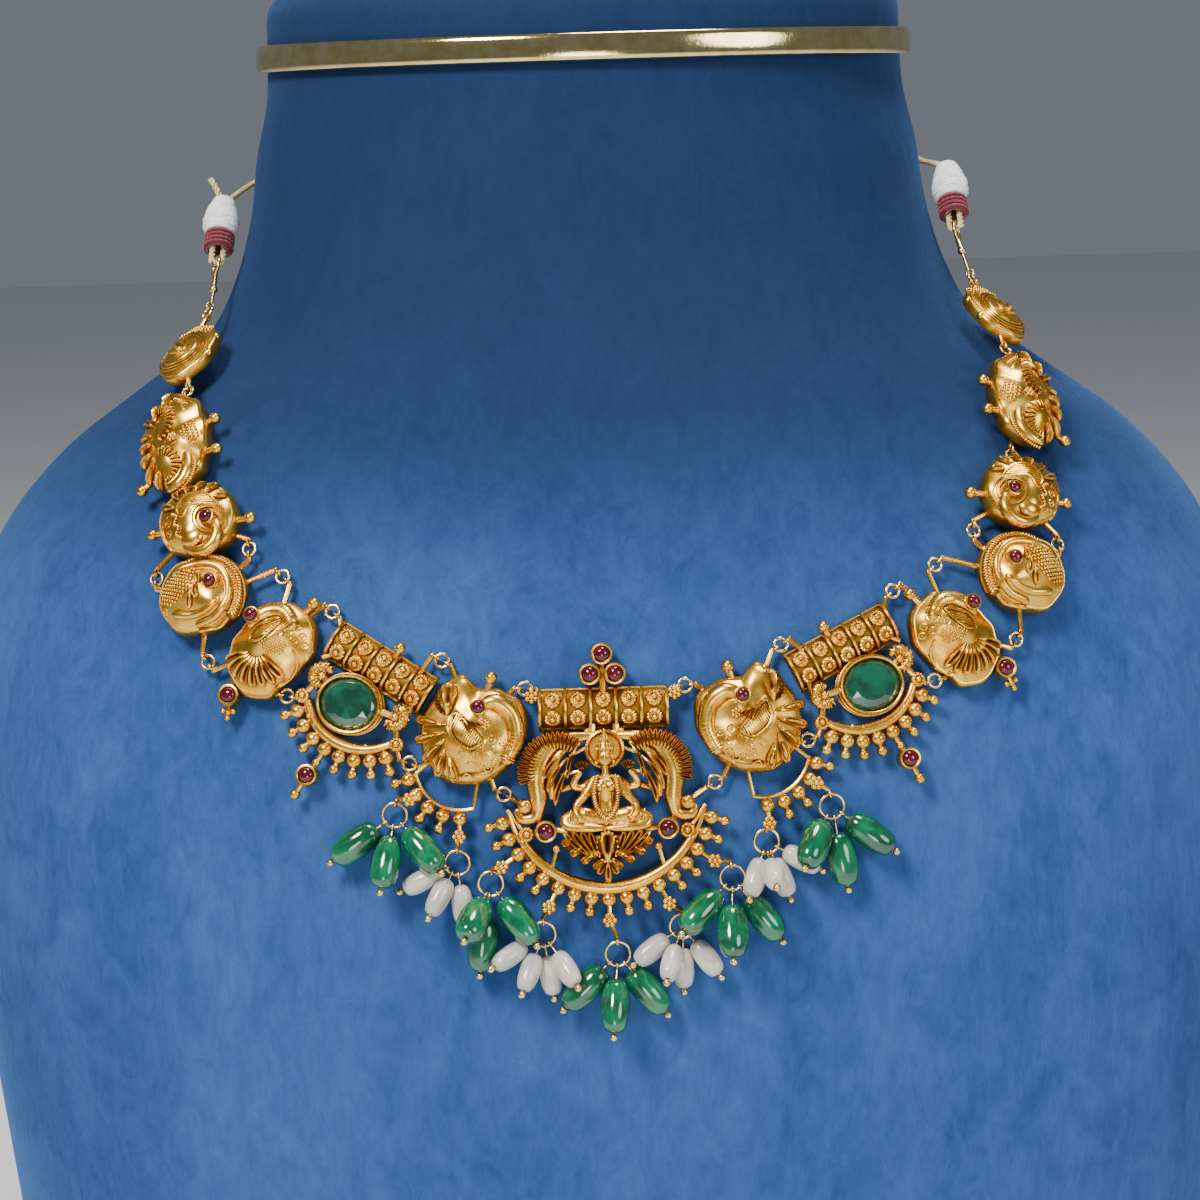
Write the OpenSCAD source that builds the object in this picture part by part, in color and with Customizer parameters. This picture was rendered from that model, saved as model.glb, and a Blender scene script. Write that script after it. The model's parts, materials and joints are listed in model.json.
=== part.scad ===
/* [Neck bust] */
// Height of the whole bust
bust_h = 272; // [269:0.5:276]
// Height of the middle of the gold band
band_z = 258.6; // [257:0.2:260]
// Width of the gold band, measured up the neck
band_w = 5; // [4:0.1:6]
// Thickness of the gold band
band_t = 2; // [1.6:0.1:2.4]

/* [Goldwork] */
// Gap between the backs of the pieces and the velvet
seat = 0.7; // [0.6:0.1:1]
// Wire of the small jump rings
jump_wire = 0.56; // [0.5:0.02:0.6]
// Diameter of the large balls of the fringes
ball_d = 2.6; // [2.3:0.1:2.8]
// Diameter of the small balls at the tips of the fringes
tip_d = 1.8; // [1.5:0.1:1.9]
// Diameter of one granule of a cluster
granule_d = 1; // [0.8:0.05:1.1]

/* [Stones and beads] */
// Diameter of a set ruby cabochon
ruby_d = 2.8; // [2.5:0.1:2.9]
// Length of the oval emerald
emerald_w = 10; // [9:0.1:10.4]
// Height of the oval emerald
emerald_h = 8.8; // [8:0.1:9]
// Diameter and length of a green bead
green_bead = [5.4, 9.2]; // [4:0.1:9.6]
// Diameter and length of a pearl
pearl = [3.8, 6.8]; // [3:0.1:7.2]

/* [Cord] */
// Diameter of the gold cord round the back of the neck
cord_d = 1.2; // [1:0.1:1.2]

/* [Hidden] */
$fn = 48;

// Bust levels: height, half width, half depth, centre along Y, squareness of the section
BUST = [[0, 116, 66, 0, 2.5], [45, 120, 69, -1, 2.5], [95, 124, 71, -1, 2.45],
    [130, 125, 68, 0, 2.4], [155, 122, 63, 1.5, 2.3], [172, 115, 58.5, 3.5, 2.2],
    [186, 103, 54.5, 6, 2.1], [197, 88, 51.5, 8.5, 2.05], [206, 75.5, 49.3, 11, 2],
    [216, 69.5, 48, 13.5, 2], [228, 65.8, 47, 15.5, 2], [240, 64, 46.4, 16.8, 2],
    [252, 61.4, 45, 17.6, 2], [276, 60.8, 44.8, 18.5, 2]];
// Heights at which the velvet surface has a ring of points
BUST_RINGS = [0, 2, 32, 64, 95, 112, 126, 140, 150, 158, 166, 173, 180, 186, 192, 197, 202, 207, 212,
    218, 225, 234, 245, 256];
bust_sides = 48;
// Rounded top of the neck: distance below the top, share of the half width
TOP_RINGS = [[7, 1], [3.5, 0.985], [1.2, 0.94], [0, 0.86]];

// Places of the pieces on the bust: azimuth, height, turn, lift of the back above the velvet
PENDANT = [-90, 140, 0, seat + 0.2];
PEACOCK_1 = [[-97.4, 144.2, 0, seat], [-81.6, 144.8, 0, seat]];
EMERALD = [[-107, 149.2, -31, seat + 0.2], [-71.8, 149.6, 24, seat + 0.2]];
PEACOCK_2 = [[-114.6, 158.2, 0, seat + 0.4], [-63.4, 156.6, 0, seat + 0.4]];
CRESTED = [[-121.8, 165.4, -52, seat + 1], [-55.6, 164.8, 48, seat + 1]];
PAISLEY = [[-125.8, 176.4, -60, seat + 1.6], [-51, 176.6, 60, seat + 1.6]];
LEAF = [[-135.6, 188, -62, seat + 1.8], [-39.8, 190.4, 64, seat + 1.8]];
END_PAISLEY = [[-152, 201.4, -66, seat + 3.4], [-22, 203.6, 70, seat + 3.4]];
END_LINK = [[-161, 214, 118, 5.6], [-18, 217, 62, 5.6]];
CORD_END = [[-168, 223, 128, 5.6], [-12, 225.6, 52, 5.2]];

// Jump rings: azimuth, height, lift, heading from the piece nearer the pendant to the next one
JOINTS = [
    [[-94.3, 151.4, 1.8, 176], [-95.4, 134.4, 1.8, 150], [-100.3, 156.2, 1.8, 150], [-102, 139.6, 2, 160],
     [-109.9, 164, 2, 140], [-112.5, 150.4, 2, 170], [-115.4, 169.4, 2.2, 140], [-120.5, 155.6, 2.2, 130],
     [-119.8, 173.6, 2.4, 100], [-128.6, 168.2, 2.8, 100], [-130, 182, 1.5, 105], [-143.6, 196.4, 4.4, 118],
     [-158.6, 209.4, 5.6, 112]],
    [[-85.4, 151.2, 1.8, 4], [-84.1, 135.4, 1.8, 30], [-78.2, 157, 2.1, 30], [-77.3, 141.4, 2, 20],
     [-67.8, 164.4, 2, 40], [-66.1, 149.6, 2, 10], [-63, 168, 2.2, 40], [-57.4, 155, 2.2, 50],
     [-57.6, 172.8, 2.4, 80], [-49, 169, 2.8, 80], [-46.4, 184.2, 1.5, 75], [-30.6, 198.6, 4.4, 62],
     [-19.4, 211.4, 5.6, 68]]];
jump_r = 1.15;
eye_r = 0.72;
eye_wire = 0.4;

// Bead rings: azimuth, height, lift, heading of the hanger eye
BEAD_RINGS = [[-102.9, 131.2, 2.4, 262], [-98.4, 123.2, 2.4, 268], [-96.2, 119.6, 2.4, 262],
    [-93.1, 110.9, 2.4, 268], [-89.8, 107.2, 2.4, 270], [-86.6, 111.6, 2.4, 272],
    [-83.4, 119.4, 2.4, 276], [-81, 125.2, 2.4, 272], [-76.1, 130.4, 2.4, 278]];
bead_ring_r = 2.1;
bead_wire = 0.5;
// Beads of each cluster: angle round the ring, lean outwards, free length of the pin
BEADS = [
    [[54, 6, 0.8], [8, 24, 0.9], [-42, 18, 0.5]],
    [[64, 2, 0.6], [28, 25, 0.5], [-6, 0, 1]],
    [[26, 54, 0.9], [8, 4, 3], [-38, 18, 0.6]],
    [[62, 32, 0.9], [22, 34, 1], [-8, 0, 1], [-36, 34, 1.3]],
    [[46, 6, 0.6], [5, 30, 1.7], [-38, 6, 0.7]],
    [[55, 12, 0.4], [22, 46, 1.2], [0, 0, 1.1], [-36, 12, 0.6]],
    [[48, 22, 0.6], [4, 32, 2.2], [-36, 6, 1.1]],
    [[22, 24, 0.4], [-2, 65, 2.1], [-20, 4, 0.4], [-60, 4, 0.5]],
    [[34, 35, 0.6], [-8, 5, 1.7], [-52, 10, 0.6]]];

// Peacock outline: angle, radius; its ripple sector, rim, dome and raised bumps
PEACOCK_EDGE = [[0, 8.8], [32, 9.6], [56, 8.8], [84, 7.9], [104, 10.6], [122, 10.2], [140, 9.4], [170, 9.6],
    [205, 9.5], [238, 9.4], [268, 8.6], [300, 8], [332, 8]];
PEACOCK_2_EDGE = [[0, 8], [30, 8.8], [60, 8.6], [90, 7.2], [120, 6.2], [150, 6.2], [180, 7.2], [215, 8.8],
    [245, 9.6], [268, 9.2], [292, 7.2], [325, 7]];
PEACOCK_BUMPS = [[-2, 0.4, 3, 1.2], [3.4, -4, 3.6, 1.4], [1.4, 4, 2.2, 1], [-4, 8.2, 1.8, 1]];
PEACOCK_2_BUMPS = [[3, 3, 3.8, 1.4], [-0.4, 0.6, 2.6, 1.2], [-2.4, 4.4, 2, 0.8]];
CRESTED_EDGE = [[0, 6], [40, 6.4], [80, 7.4], [120, 7.8], [160, 7.4], [200, 8.8], [240, 9], [280, 8.2],
    [320, 6.4]];
CRESTED_BUMPS = [[-2.6, -1, 3.6, 1.6], [3.4, 1.4, 2.6, 1]];
PAISLEY_EDGE = [[0, 5.8], [45, 6.8], [90, 7.4], [135, 8], [180, 7.6], [225, 8], [270, 7.2], [315, 6]];
PAISLEY_BUMPS = [[-3, 0.6, 2.8, 1.4], [2.8, -1.6, 2.8, 1]];
LEAF_EDGE = [[0, 9], [30, 8.2], [60, 6.6], [90, 6.4], [125, 7.4], [155, 10.4], [180, 12.4], [210, 9.4],
    [240, 7.4], [270, 6.8], [300, 7.2], [330, 8.6]];
LEAF_BUMPS = [[-5, 0.6, 3, 1.4], [4.4, -1.2, 3.2, 1.4], [0, 3, 2.6, 0.8]];
END_EDGE = [[0, 8], [40, 6.8], [90, 6], [140, 6.6], [180, 7.4], [220, 6.4], [270, 5.8], [320, 6.6]];
END_BUMPS = [[1.6, -0.4, 2.2, 1.2]];

// Route of the cord: along, across and out in the frame of each end, then azimuth, height, lift
CORD_TAIL = [[13.6, -1, 3.4], [12.4, -0.6, 2.2], [11, -0.2, 1.2], [9.6, 0, 1.05]];
CORD_LOOP = [[-3.8, 0, 1.05], [-4.3, 0, 0.9], [-4.7, 0, 0.5], [-4.85, 0, 0], [-4.7, 0, -0.5],
    [-4.3, 0, -0.9], [-3.8, 0, -1.05]];
CORD_AWAY = [[9.6, 0, -1.05], [10.8, 0, -1.2]];
NECK_ROUTE = [[-184, 234, 2.4], [-192, 235.4, 1.6], [-204, 236.4, 1.2], [-216, 237, 1], [-228, 237.4, 1],
    [-240, 237.7, 1], [-250, 237.9, 1], [-260, 238, 1], [-270, 238, 1], [-280, 238, 1], [-290, 237.9, 1],
    [-300, 237.8, 1], [-312, 237.5, 1], [-324, 237.2, 1], [-336, 236.8, 1.2], [-348, 236, 1.6],
    [-355, 235, 2.2]];

bezel_wall = 0.4;
stone_gap = 0.07;

function unit(v) = v / norm(v);
function spow(v, p) = sign(v) * pow(abs(v), p);
function sum(v, i = 0) = i >= len(v) - 1 ? v[i] : v[i] + sum(v, i + 1);

// Smooth interpolation of the bust levels at one height
function bust_row(z, i = 0) = (i >= len(BUST) - 2 || z < BUST[i + 1][0]) ? i : bust_row(z, i + 1);
function bust_slope(k) =
    let (a = max(k - 1, 0), b = min(k + 1, len(BUST) - 1)) (BUST[b] - BUST[a]) / (BUST[b][0] - BUST[a][0]);
function level(z) =
    let (i = bust_row(z), h = BUST[i + 1][0] - BUST[i][0], u = (z - BUST[i][0]) / h, u2 = u * u, u3 = u2 * u)
    (2 * u3 - 3 * u2 + 1) * BUST[i] + (u3 - 2 * u2 + u) * h * bust_slope(i)
    + (3 * u2 - 2 * u3) * BUST[i + 1] + (u3 - u2) * h * bust_slope(i + 1);

// A point of the velvet at an azimuth and height, and the direction straight out of it
function skin(az, z, share = 1) =
    let (s = level(z))
    [share * s[1] * spow(cos(az), 2 / s[4]), s[3] + share * s[2] * spow(sin(az), 2 / s[4]), z];
function outward(az, z) =
    unit(cross(skin(az + 0.2, z) - skin(az - 0.2, z), skin(az, z + 0.2) - skin(az, z - 0.2)));

// Frame of a place on the bust: its own x, y and outward axes, and its origin
function axes(s) =
    let (n = outward(s[0], s[1]), v = unit([0, 0, 1] - n * n.z), u = cross(v, n))
    [u * cos(s[2]) + v * sin(s[2]), v * cos(s[2]) - u * sin(s[2]), n, skin(s[0], s[1]) + n * s[3]];
function place(s, p) = let (a = axes(s)) a[3] + a[0] * p.x + a[1] * p.y + a[2] * p.z;
module frame_at(a) {
    multmatrix([[a[0].x, a[1].x, a[2].x, a[3].x], [a[0].y, a[1].y, a[2].y, a[3].y],
        [a[0].z, a[1].z, a[2].z, a[3].z], [0, 0, 0, 1]]) children();
}
module at(s) {
    frame_at(axes(s)) children();
}
// Left pieces are drawn as they are, right pieces are mirrored
module sided(side) {
    if (side == 0) children();
    else mirror([1, 0, 0]) children();
}
function flip(side, p) = side == 0 ? p : [-p.x, p.y, p.z];

module rod(p, q, r) {
    d = q - p;
    translate(p) rotate([0, acos(d.z / norm(d)), atan2(d.y, d.x)]) cylinder(r = r, h = norm(d));
}
module wire_ring(r, wire) {
    rotate_extrude() translate([r, 0]) circle(d = wire);
}
module ball(p, d) {
    translate(p) sphere(d = d);
}

// Closed surface over rings of points, each ring with the same number of points
module skinned(rings) {
    n = len(rings);
    m = len(rings[0]);
    ends = [sum(rings[0]) / m, sum(rings[n - 1]) / m];
    points = concat([for (r = rings) each r], ends);
    polyhedron(points, concat(
        [for (i = [0 : n - 2], j = [0 : m - 1]) [i * m + j, i * m + (j + 1) % m, (i + 1) * m + j]],
        [for (i = [0 : n - 2], j = [0 : m - 1])
            [i * m + (j + 1) % m, (i + 1) * m + (j + 1) % m, (i + 1) * m + j]],
        [for (j = [0 : m - 1]) [j, n * m, (j + 1) % m]],
        [for (j = [0 : m - 1]) [(n - 1) * m + j, (n - 1) * m + (j + 1) % m, n * m + 1]]));
}

// Points of a smooth curve through given points
function through(P, k) =
    let (n = len(P))
    concat([for (i = [0 : n - 2], s = [0 : k - 1])
        let (a = P[max(i - 1, 0)], b = P[i], c = P[i + 1], d = P[min(i + 2, n - 1)], u = s / k)
        b + 0.5 * u * (c - a + u * (2 * a - 5 * b + 4 * c - d + u * (3 * (b - c) + d - a)))], [P[n - 1]]);

// Round wire of changing thickness along a curve; flat squeezes it towards the up direction
function carried(T, n, i = 0) =
    i >= len(T) ? [] : let (m = unit(n - T[i] * (n * T[i]))) concat([m], carried(T, m, i + 1));
module limb(P, R, sides = 8, up = [0, 0, 1], flat = 1) {
    n = len(P);
    T = [for (i = [0 : n - 1]) unit(P[min(i + 1, n - 1)] - P[max(i - 1, 0)])];
    M = carried(T, up);
    skinned([for (i = [0 : n - 1]) let (b = cross(T[i], M[i]))
        [for (j = [0 : sides - 1]) let (a = 360 * j / sides)
            P[i] + R[i] * (b * cos(a) + M[i] * flat * sin(a))]]);
}
function arc(c, r, a, b, n, z = 0) =
    [for (i = [0 : n]) let (t = a + (b - a) * i / n) [c.x + r * cos(t), c.y + r * sin(t), z]];
// Bar along an arc, thick in the middle and thinner at both ends
module crescent(c, r, a, b, thick, tip, n = 16, z = 0) {
    limb(arc(c, r, a, b, n, z), [for (i = [0 : n]) (tip + (thick - tip) * sin(180 * i / n)) / 2]);
}

// Radius of an outline table at an angle
function edge_row(T, a, i = 0) = (i >= len(T) - 1 || a < T[i + 1][0]) ? i : edge_row(T, a, i + 1);
function edge_radius(T, a) =
    let (i = edge_row(T, a), p = T[i], q = T[(i + 1) % len(T)], span = (q[0] - p[0] + 360) % 360,
        u = (a - p[0]) / span)
    p[1] + (q[1] - p[1]) * (1 - cos(180 * u)) / 2;
function bump_height(x, y, bumps) =
    sum([for (b = bumps) b[3] * exp(-((x - b[0]) * (x - b[0]) + (y - b[1]) * (y - b[1])) / (b[2] * b[2]))]);

// Repousse plaque: a domed relief over an outline, grooved between ripple[0] and ripple[1] degrees
module relief(edge, rim, dome, ripple, bumps, spokes = 36, rings = 6) {
    function groove(a, j) = (a > ripple[0] && a < ripple[1] && j % 2 == 1) ? 1 : 0;
    function height(x, y, k, g) =
        rim + dome * sqrt(max(0, 1 - k * k)) + (1 - pow(k, 4)) * bump_height(x, y, bumps) - g * ripple[2] * k;
    function ring_of(k, flat) = [for (j = [0 : spokes - 1])
        let (a = 360 * (1 - j / spokes), g = groove(a, j), r = k * edge_radius(edge, a) * (1 - 0.05 * g * k),
            x = r * cos(a), y = r * sin(a)) [x, y, flat ? 0 : height(x, y, k, g)]];
    skinned(concat([ring_of(0.98, true)], [for (k = [rings : -1 : 1]) ring_of(k / rings, false)]));
}

// Flower of six granules round a seventh
module granules(p, lift = 0) {
    translate(p) {
        sphere(d = granule_d * 1.1);
        for (a = [30 : 60 : 330]) rotate([0, 0, a]) ball([granule_d * 0.82, 0, lift], granule_d);
    }
}
// Double ball on a neck, pointing along +X from the origin
module spike(reach, tip_gap = 2.3, neck = 0.45) {
    rotate([0, 90, 0]) rotate_extrude() intersection() {
        union() {
            translate([0, reach]) circle(d = ball_d);
            translate([0, reach + tip_gap]) circle(d = tip_d);
            translate([-neck, 0]) square([2 * neck, reach + tip_gap]);
        }
        translate([0, -5]) square([10, 40]);
    }
}
// Spikes round an arc; hangers lists [index, reach] of those that end in a granule flower
module fringe(c, r, angles, hangers, z) {
    for (i = [0 : len(angles) - 1]) translate([c.x, c.y, z]) rotate([0, 0, angles[i]]) translate([r, 0, 0]) {
        found = [for (h = hangers) if (h[0] == i) h[1]];
        if (len(found) == 0) spike(1.5);
        else hanger(found[0]);
    }
}
module hanger(reach) {
    spike(1.5, 0.4);
    rod([1, 0, 0], [reach, 0, 0.6], 0.42);
    granules([reach, 0, 0.8]);
}
// Round setting with a low wall, its floor at z = 0
module round_bezel(p, d, h) {
    translate(p) difference() {
        cylinder(d = d + 2 * (bezel_wall + stone_gap), h = h);
        translate([0, 0, h - 1]) cylinder(d = d + 2 * stone_gap, h = 2);
    }
}
// Domed round stone that stands in a setting of height h
module cabochon(p, d, h) {
    translate(p + [0, 0, h - 1 + stone_gap]) rotate_extrude() intersection() {
        union() {
            square([d / 2, 0.9]);
            translate([0, 0.9 - d * 0.13]) circle(d = d * 1.034);
        }
        square([d / 2, d]);
    }
}
// Barrel bar with rosettes in two rows and wire hoops between the columns
module rosette_bar(c, w, columns, turn = 0) {
    pitch = w / columns;
    translate([c.x, c.y, 0]) rotate([0, 0, turn]) {
        intersection() {
            translate([0, 0, -0.9]) rotate([0, 90, 0]) union() {
                cylinder(r = 3.5, h = w - 0.2, center = true);
                for (i = [0 : columns])
                    translate([0, 0, (i - columns / 2) * pitch * 0.98]) wire_ring(3.75, 0.64);
            }
            translate([-w, -6, 0]) cube([2 * w, 12, 6]);
        }
        for (i = [0 : columns - 1], t = [-27, 27]) translate([(i + 0.5 - columns / 2) * pitch * 0.98, 0, -0.9])
            rotate([t, 0, 0]) translate([0, 0, 3.2]) {
                cylinder(r = 1.36, h = 0.8);
                translate([0, 0, 0.8]) sphere(r = 0.62);
            }
    }
}

module bust() {
    rings = concat([for (z = BUST_RINGS) [z, 1]], [for (t = TOP_RINGS) [bust_h - t[0], t[1]]]);
    color("royalblue") skinned([for (q = rings)
        [for (j = [0 : bust_sides - 1])
            let (p = skin(-360 * (j + 0.5) / bust_sides, max(q[0], 0.01), q[1])) [p.x, p.y, q[0]]]]);
}
module neck_band() {
    // Section of the band: distance out from the velvet, height from the middle
    section = [[0.35, -0.5], [0.7, -0.5], [1, -0.3], [1, 0.3], [0.7, 0.5], [0.35, 0.5]];
    n = 48;
    m = len(section);
    p = [for (j = [0 : n - 1], s = section)
        let (az = 360 * j / n, z = band_z + s[1] * band_w, q = outward(az, z))
        skin(az, z) + unit([q.x, q.y, 0]) * (s[0] * band_t + 0.2)];
    color("gold") polyhedron(p, concat(
        [for (j = [0 : n - 1], i = [0 : m - 1]) [j * m + i, j * m + (i + 1) % m, ((j + 1) % n) * m + i]],
        [for (j = [0 : n - 1], i = [0 : m - 1])
            [j * m + (i + 1) % m, ((j + 1) % n) * m + (i + 1) % m, ((j + 1) % n) * m + i]]));
}

// Seated figure on the lotus, made of tapering limbs
module figure() {
    limb([[0, -10.6, 2.6], [0, -8.4, 2.7], [0, -6.4, 2.8], [0, -4.2, 3], [0, -3, 2.8]],
        [2.2, 1.9, 1.5, 2.3, 1.2], flat = 0.6);
    ball([0, 0.6, 3.2], 3.5);
    limb([[0, 2, 3.1], [0, 3.4, 3]], [1.5, 0.7]);
    for (s = [-1, 1]) {
        limb([[s * 0.6, -10.4, 3.2], [s * 4.4, -9.4, 3.4], [s * 7.2, -10.2, 3], [s * 5.4, -11.4, 3.6],
            [s * 1, -11.2, 3.8]], [1.2, 1.6, 1.4, 1.2, 0.9], flat = 0.7);
        limb([[s * 2, -3.6, 3], [s * 3.2, -6, 3.2], [s * 4.9, -8, 3.4], [s * 4.4, -6.2, 4.2]],
            [0.9, 0.8, 0.75, 0.6]);
        limb([[s * 2.2, -3.6, 2.6], [s * 4.2, -5, 2.4], [s * 5.6, -4.4, 2.8], [s * 4.2, -2.4, 3.2]],
            [0.8, 0.75, 0.7, 0.9]);
        limb([[s * 5.4, -4.6, 2.6], [s * 7.4, -5.2, 2], [s * 9.6, -5.4, 1.8]], [0.7, 0.6, 0.6]);
    }
}
// Half lotus: petals in two rows that lean outwards from the seat
module lotus() {
    translate([0, -12.2, 0]) {
        limb([[-7.4, 0.6, 2], [-4, -1.6, 2.4], [0, -2.4, 2.6], [4, -1.6, 2.4], [7.4, 0.6, 2]],
            [1.2, 2, 2.4, 2, 1.2], flat = 0.7);
        for (i = [-4 : 4]) rotate([0, 0, i * 17 - 90]) {
            limb([[1, 0, 3.6], [4, 0, 4.2], [6.4 + 1.2 * cos(i * 20), 0, 3]], [0.9, 1.2, 0.3],
                sides = 6, flat = 0.6);
        }
    }
    limb([[0, -15.4, 3.4], [0, -18.6, 2.6], [0, -21.6, 1.6]], [1.4, 1.1, 0.5], flat = 0.7);
}
// Arching plume of one side: outer comb of ribs, smooth inner ridges and a curl with its ball
module plume() {
    for (i = [0 : 17]) translate([-8, -2.2, 2])
        rotate([0, 0, 62 + i * 7.6]) rod([4.4, 0, 0.4], [6.7, 0, -0.4], 0.42);
    limb(through([[-1.6, 3.6, 2], [-5.6, 3.4, 2.2], [-9.6, 1.8, 2.4], [-11.6, -2.4, 2.4], [-11.4, -7, 2.2],
        [-12, -9.6, 2], [-14.2, -10, 2], [-15, -8.6, 2]], 2),
        [0.6, 0.9, 1.2, 1.5, 1.7, 1.8, 1.9, 1.8, 1.6, 1.3, 1.1, 0.9, 0.8, 0.7, 0.6], flat = 0.8);
    limb([[-4.4, 2.4, 2.2], [-7.6, 0.8, 2.4], [-9, -2.6, 2.4], [-9, -6.4, 2.2]], [0.5, 1.1, 1.3, 1]);
    ball([-13.8, -7.8, 2.4], 2.5);
}
fringe_centre = [0, -5.45];
FRINGE = [for (k = [-8 : 8]) 270 + 9.2 * k];
module centre_pendant() {
    color("goldenrod") union() {
        at(PENDANT) {
            for (p = [[0, 17.5, 0.2], [-2.15, 14.1, 0.2], [2.15, 14.1, 0.2]]) round_bezel(p, ruby_d, 2.6);
            rod([0, 10, 1], [0, 16, 1], 0.7);
            rosette_bar([0, 8.3], 22, 5);
            for (s = [-1, 1]) rod([s * 2, 5.6, 1.3], [s * 2.1, 3.2, 1.6], 0.7);
            // Halo with its ribbed rim
            translate([0, 1.4, 1.2]) cylinder(d = 6.8, h = 1.4);
            translate([0, 1.4, 2.5]) wire_ring(3.1, 0.8);
            figure();
            lotus();
            for (s = [0, 1]) mirror([s, 0, 0]) pendant_side();
            crescent(fringe_centre, 16.6, 211, 329, 2.4, 1.5, 18, 1.4);
            rod([0, -20.8, 1.5], [0, -22, 1.5], 0.7);
            fringe(fringe_centre, 17, FRINGE, [for (i = [2, 5, 8, 11, 14]) [i, 5]], 1.4);
        }
        for (side = [0, 1]) joint_eyes(side, [0, 1], PENDANT, -1, [[-10.4, 10.4, 1.4], [-14, -7.6, 2]]);
        for (k = [2 : 6]) ring_eye(k, PENDANT, fringe_centre, 22, FRINGE[3 * k - 4]);
    }
}
module pendant_side() {
    plume();
    round_bezel([-10.3, -12.2, 0.8], ruby_d, 2.6);
    rod([-8.6, -12, 1.8], [-6, -12.4, 2.2], 0.5);
    rod([-11.6, -10.6, 1.7], [-11.2, -8.4, 2], 0.6);
    translate([-13.6, -12.6, 0.4]) cylinder(r = 1.35, h = 1.9);
    ball([-13.6, -12.6, 2.5], 1.4);
    ball([-8.6, -15.2, 2], 1.5);
    rod([-8.6, -15.2, 1.9], [-9.6, -18.8, 1.6], 0.4);
    granules([-12.1, 10.6, 1.6]);
    rod([-13.6, -13, 1.4], [-16.8, -8.4, 1.4], 0.4);
    limb(arc(fringe_centre, 16.9, 192, 213, 4, 1.4), [0.45, 0.45, 0.45, 0.45, 0.5], sides = 6);
}
module ruby_trio() {
    color("maroon") at(PENDANT)
        for (p = [[0, 17.5, 0.2], [-2.15, 14.1, 0.2], [2.15, 14.1, 0.2]]) cabochon(p, ruby_d - 0.1, 2.6);
}
module pendant_rubies() {
    color("maroon") at(PENDANT)
        for (s = [-1, 1]) cabochon([s * 10.3, -12.2, 0.8], ruby_d - 0.1, 2.6);
}

// Eyes and necks of numbered joints; way is -1 on the side nearer the pendant, 1 on the other
module joint_eyes(side, list, s, way, ties = []) {
    for (i = [0 : len(list) - 1]) {
        j = JOINTS[side][list[i]];
        f = [j[0], j[1], j[3], j[2]];
        a = axes(f);
        back = place(f, [way * (jump_r + eye_r), 0, 0]);
        frame_at([a[0], a[1], a[2], place(f, [way * jump_r, 0, 0])])
            rotate([90, 0, 0]) wire_ring(eye_r, eye_wire);
        tie = len(ties) > 0 ? place(s, flip(side, ties[i])) : back + 0.6 * (place(s, [0, 0, 1.6]) - back);
        rod(back, tie, 0.36);
    }
}
// Eye that carries a bead ring, tied to the granule flower of its hanger
module ring_eye(k, s, c, r, a) {
    f = BEAD_RINGS[k];
    g = [f[0], f[1], f[3] - 180, f[2]];
    x = axes(g);
    back = place(g, [bead_ring_r + eye_r, 0, 0]);
    frame_at([x[0], x[1], x[2], place(g, [bead_ring_r, 0, 0])]) rotate([90, 0, 0]) wire_ring(eye_r, eye_wire);
    rod(back, place(s, [c.x + r * cos(a), c.y + r * sin(a), 2]), 0.4);
}

// Fringe of the first peacock: angles of its spikes round the arc of a fine wire
PEACOCK_FRINGE = [196, 214, 232, 250, 268];
PEACOCK_HANGERS = [[1, 2.7], [4, 4.5]];
peacock_arc = [-2.6, -4.9];
peacock_arc_r = 7.9;
// Domed peacock with its fanned tail, curved neck, eye setting, and a ball on a stem
module peacock(edge, tail, bumps, neck, eye, stem, knob) {
    relief(edge, 1.4, 3, tail, bumps);
    limb(through(neck, 2), [1, 1.3, 1.5, 1.5, 1.5, 1.5, 1.4, 1.2, 0.9]);
    translate([eye.x, eye.y, 3.6]) cylinder(d = 2.9, h = 2.3);
    rod([stem.x, stem.y, 1.6], [knob.x, knob.y, 1.7], 0.6);
    ball([knob.x, knob.y, 1.7], 2.2);
}
peacock_1_eye = [0.9, 4.6];
peacock_2_eye = [-2.4, 5];
module peacock_fringe() {
    limb(arc(peacock_arc, peacock_arc_r, 189, 285, 10, 1.2), [for (i = [0 : 10]) 0.34], sides = 6);
    rod([-10.2, -6.4, 1.2], [-7.4, -4, 1.2], 0.36);
    rod([-0.6, -12.4, 1.2], [0.4, -7, 1.4], 0.36);
    fringe(peacock_arc, peacock_arc_r, PEACOCK_FRINGE, PEACOCK_HANGERS, 1.2);
}
module peacock_1(side) {
    s = PEACOCK_1[side];
    color("goldenrod") union() {
        at(s) sided(side) {
            peacock(PEACOCK_EDGE, [135, 285, 0.8], PEACOCK_BUMPS, [[5.4, -4.4, 3.6], [7, -0.6, 3.2],
                [6.2, 3.4, 3.4], [3.6, 5.4, 4.2], [1, 4.6, 4.4]], peacock_1_eye, [1.6, 5.6], [2.8, 9.6]);
            peacock_fringe();
        }
        joint_eyes(side, [0, 1], s, 1);
        joint_eyes(side, [2, 3], s, -1);
        for (i = [0, 1]) {
            h = PEACOCK_HANGERS[i];
            a = PEACOCK_FRINGE[h[0]];
            ring_eye(side == 0 ? i : 8 - i, s, flip(side, peacock_arc), peacock_arc_r + h[1],
                side == 0 ? a : 180 - a);
        }
    }
}
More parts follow.
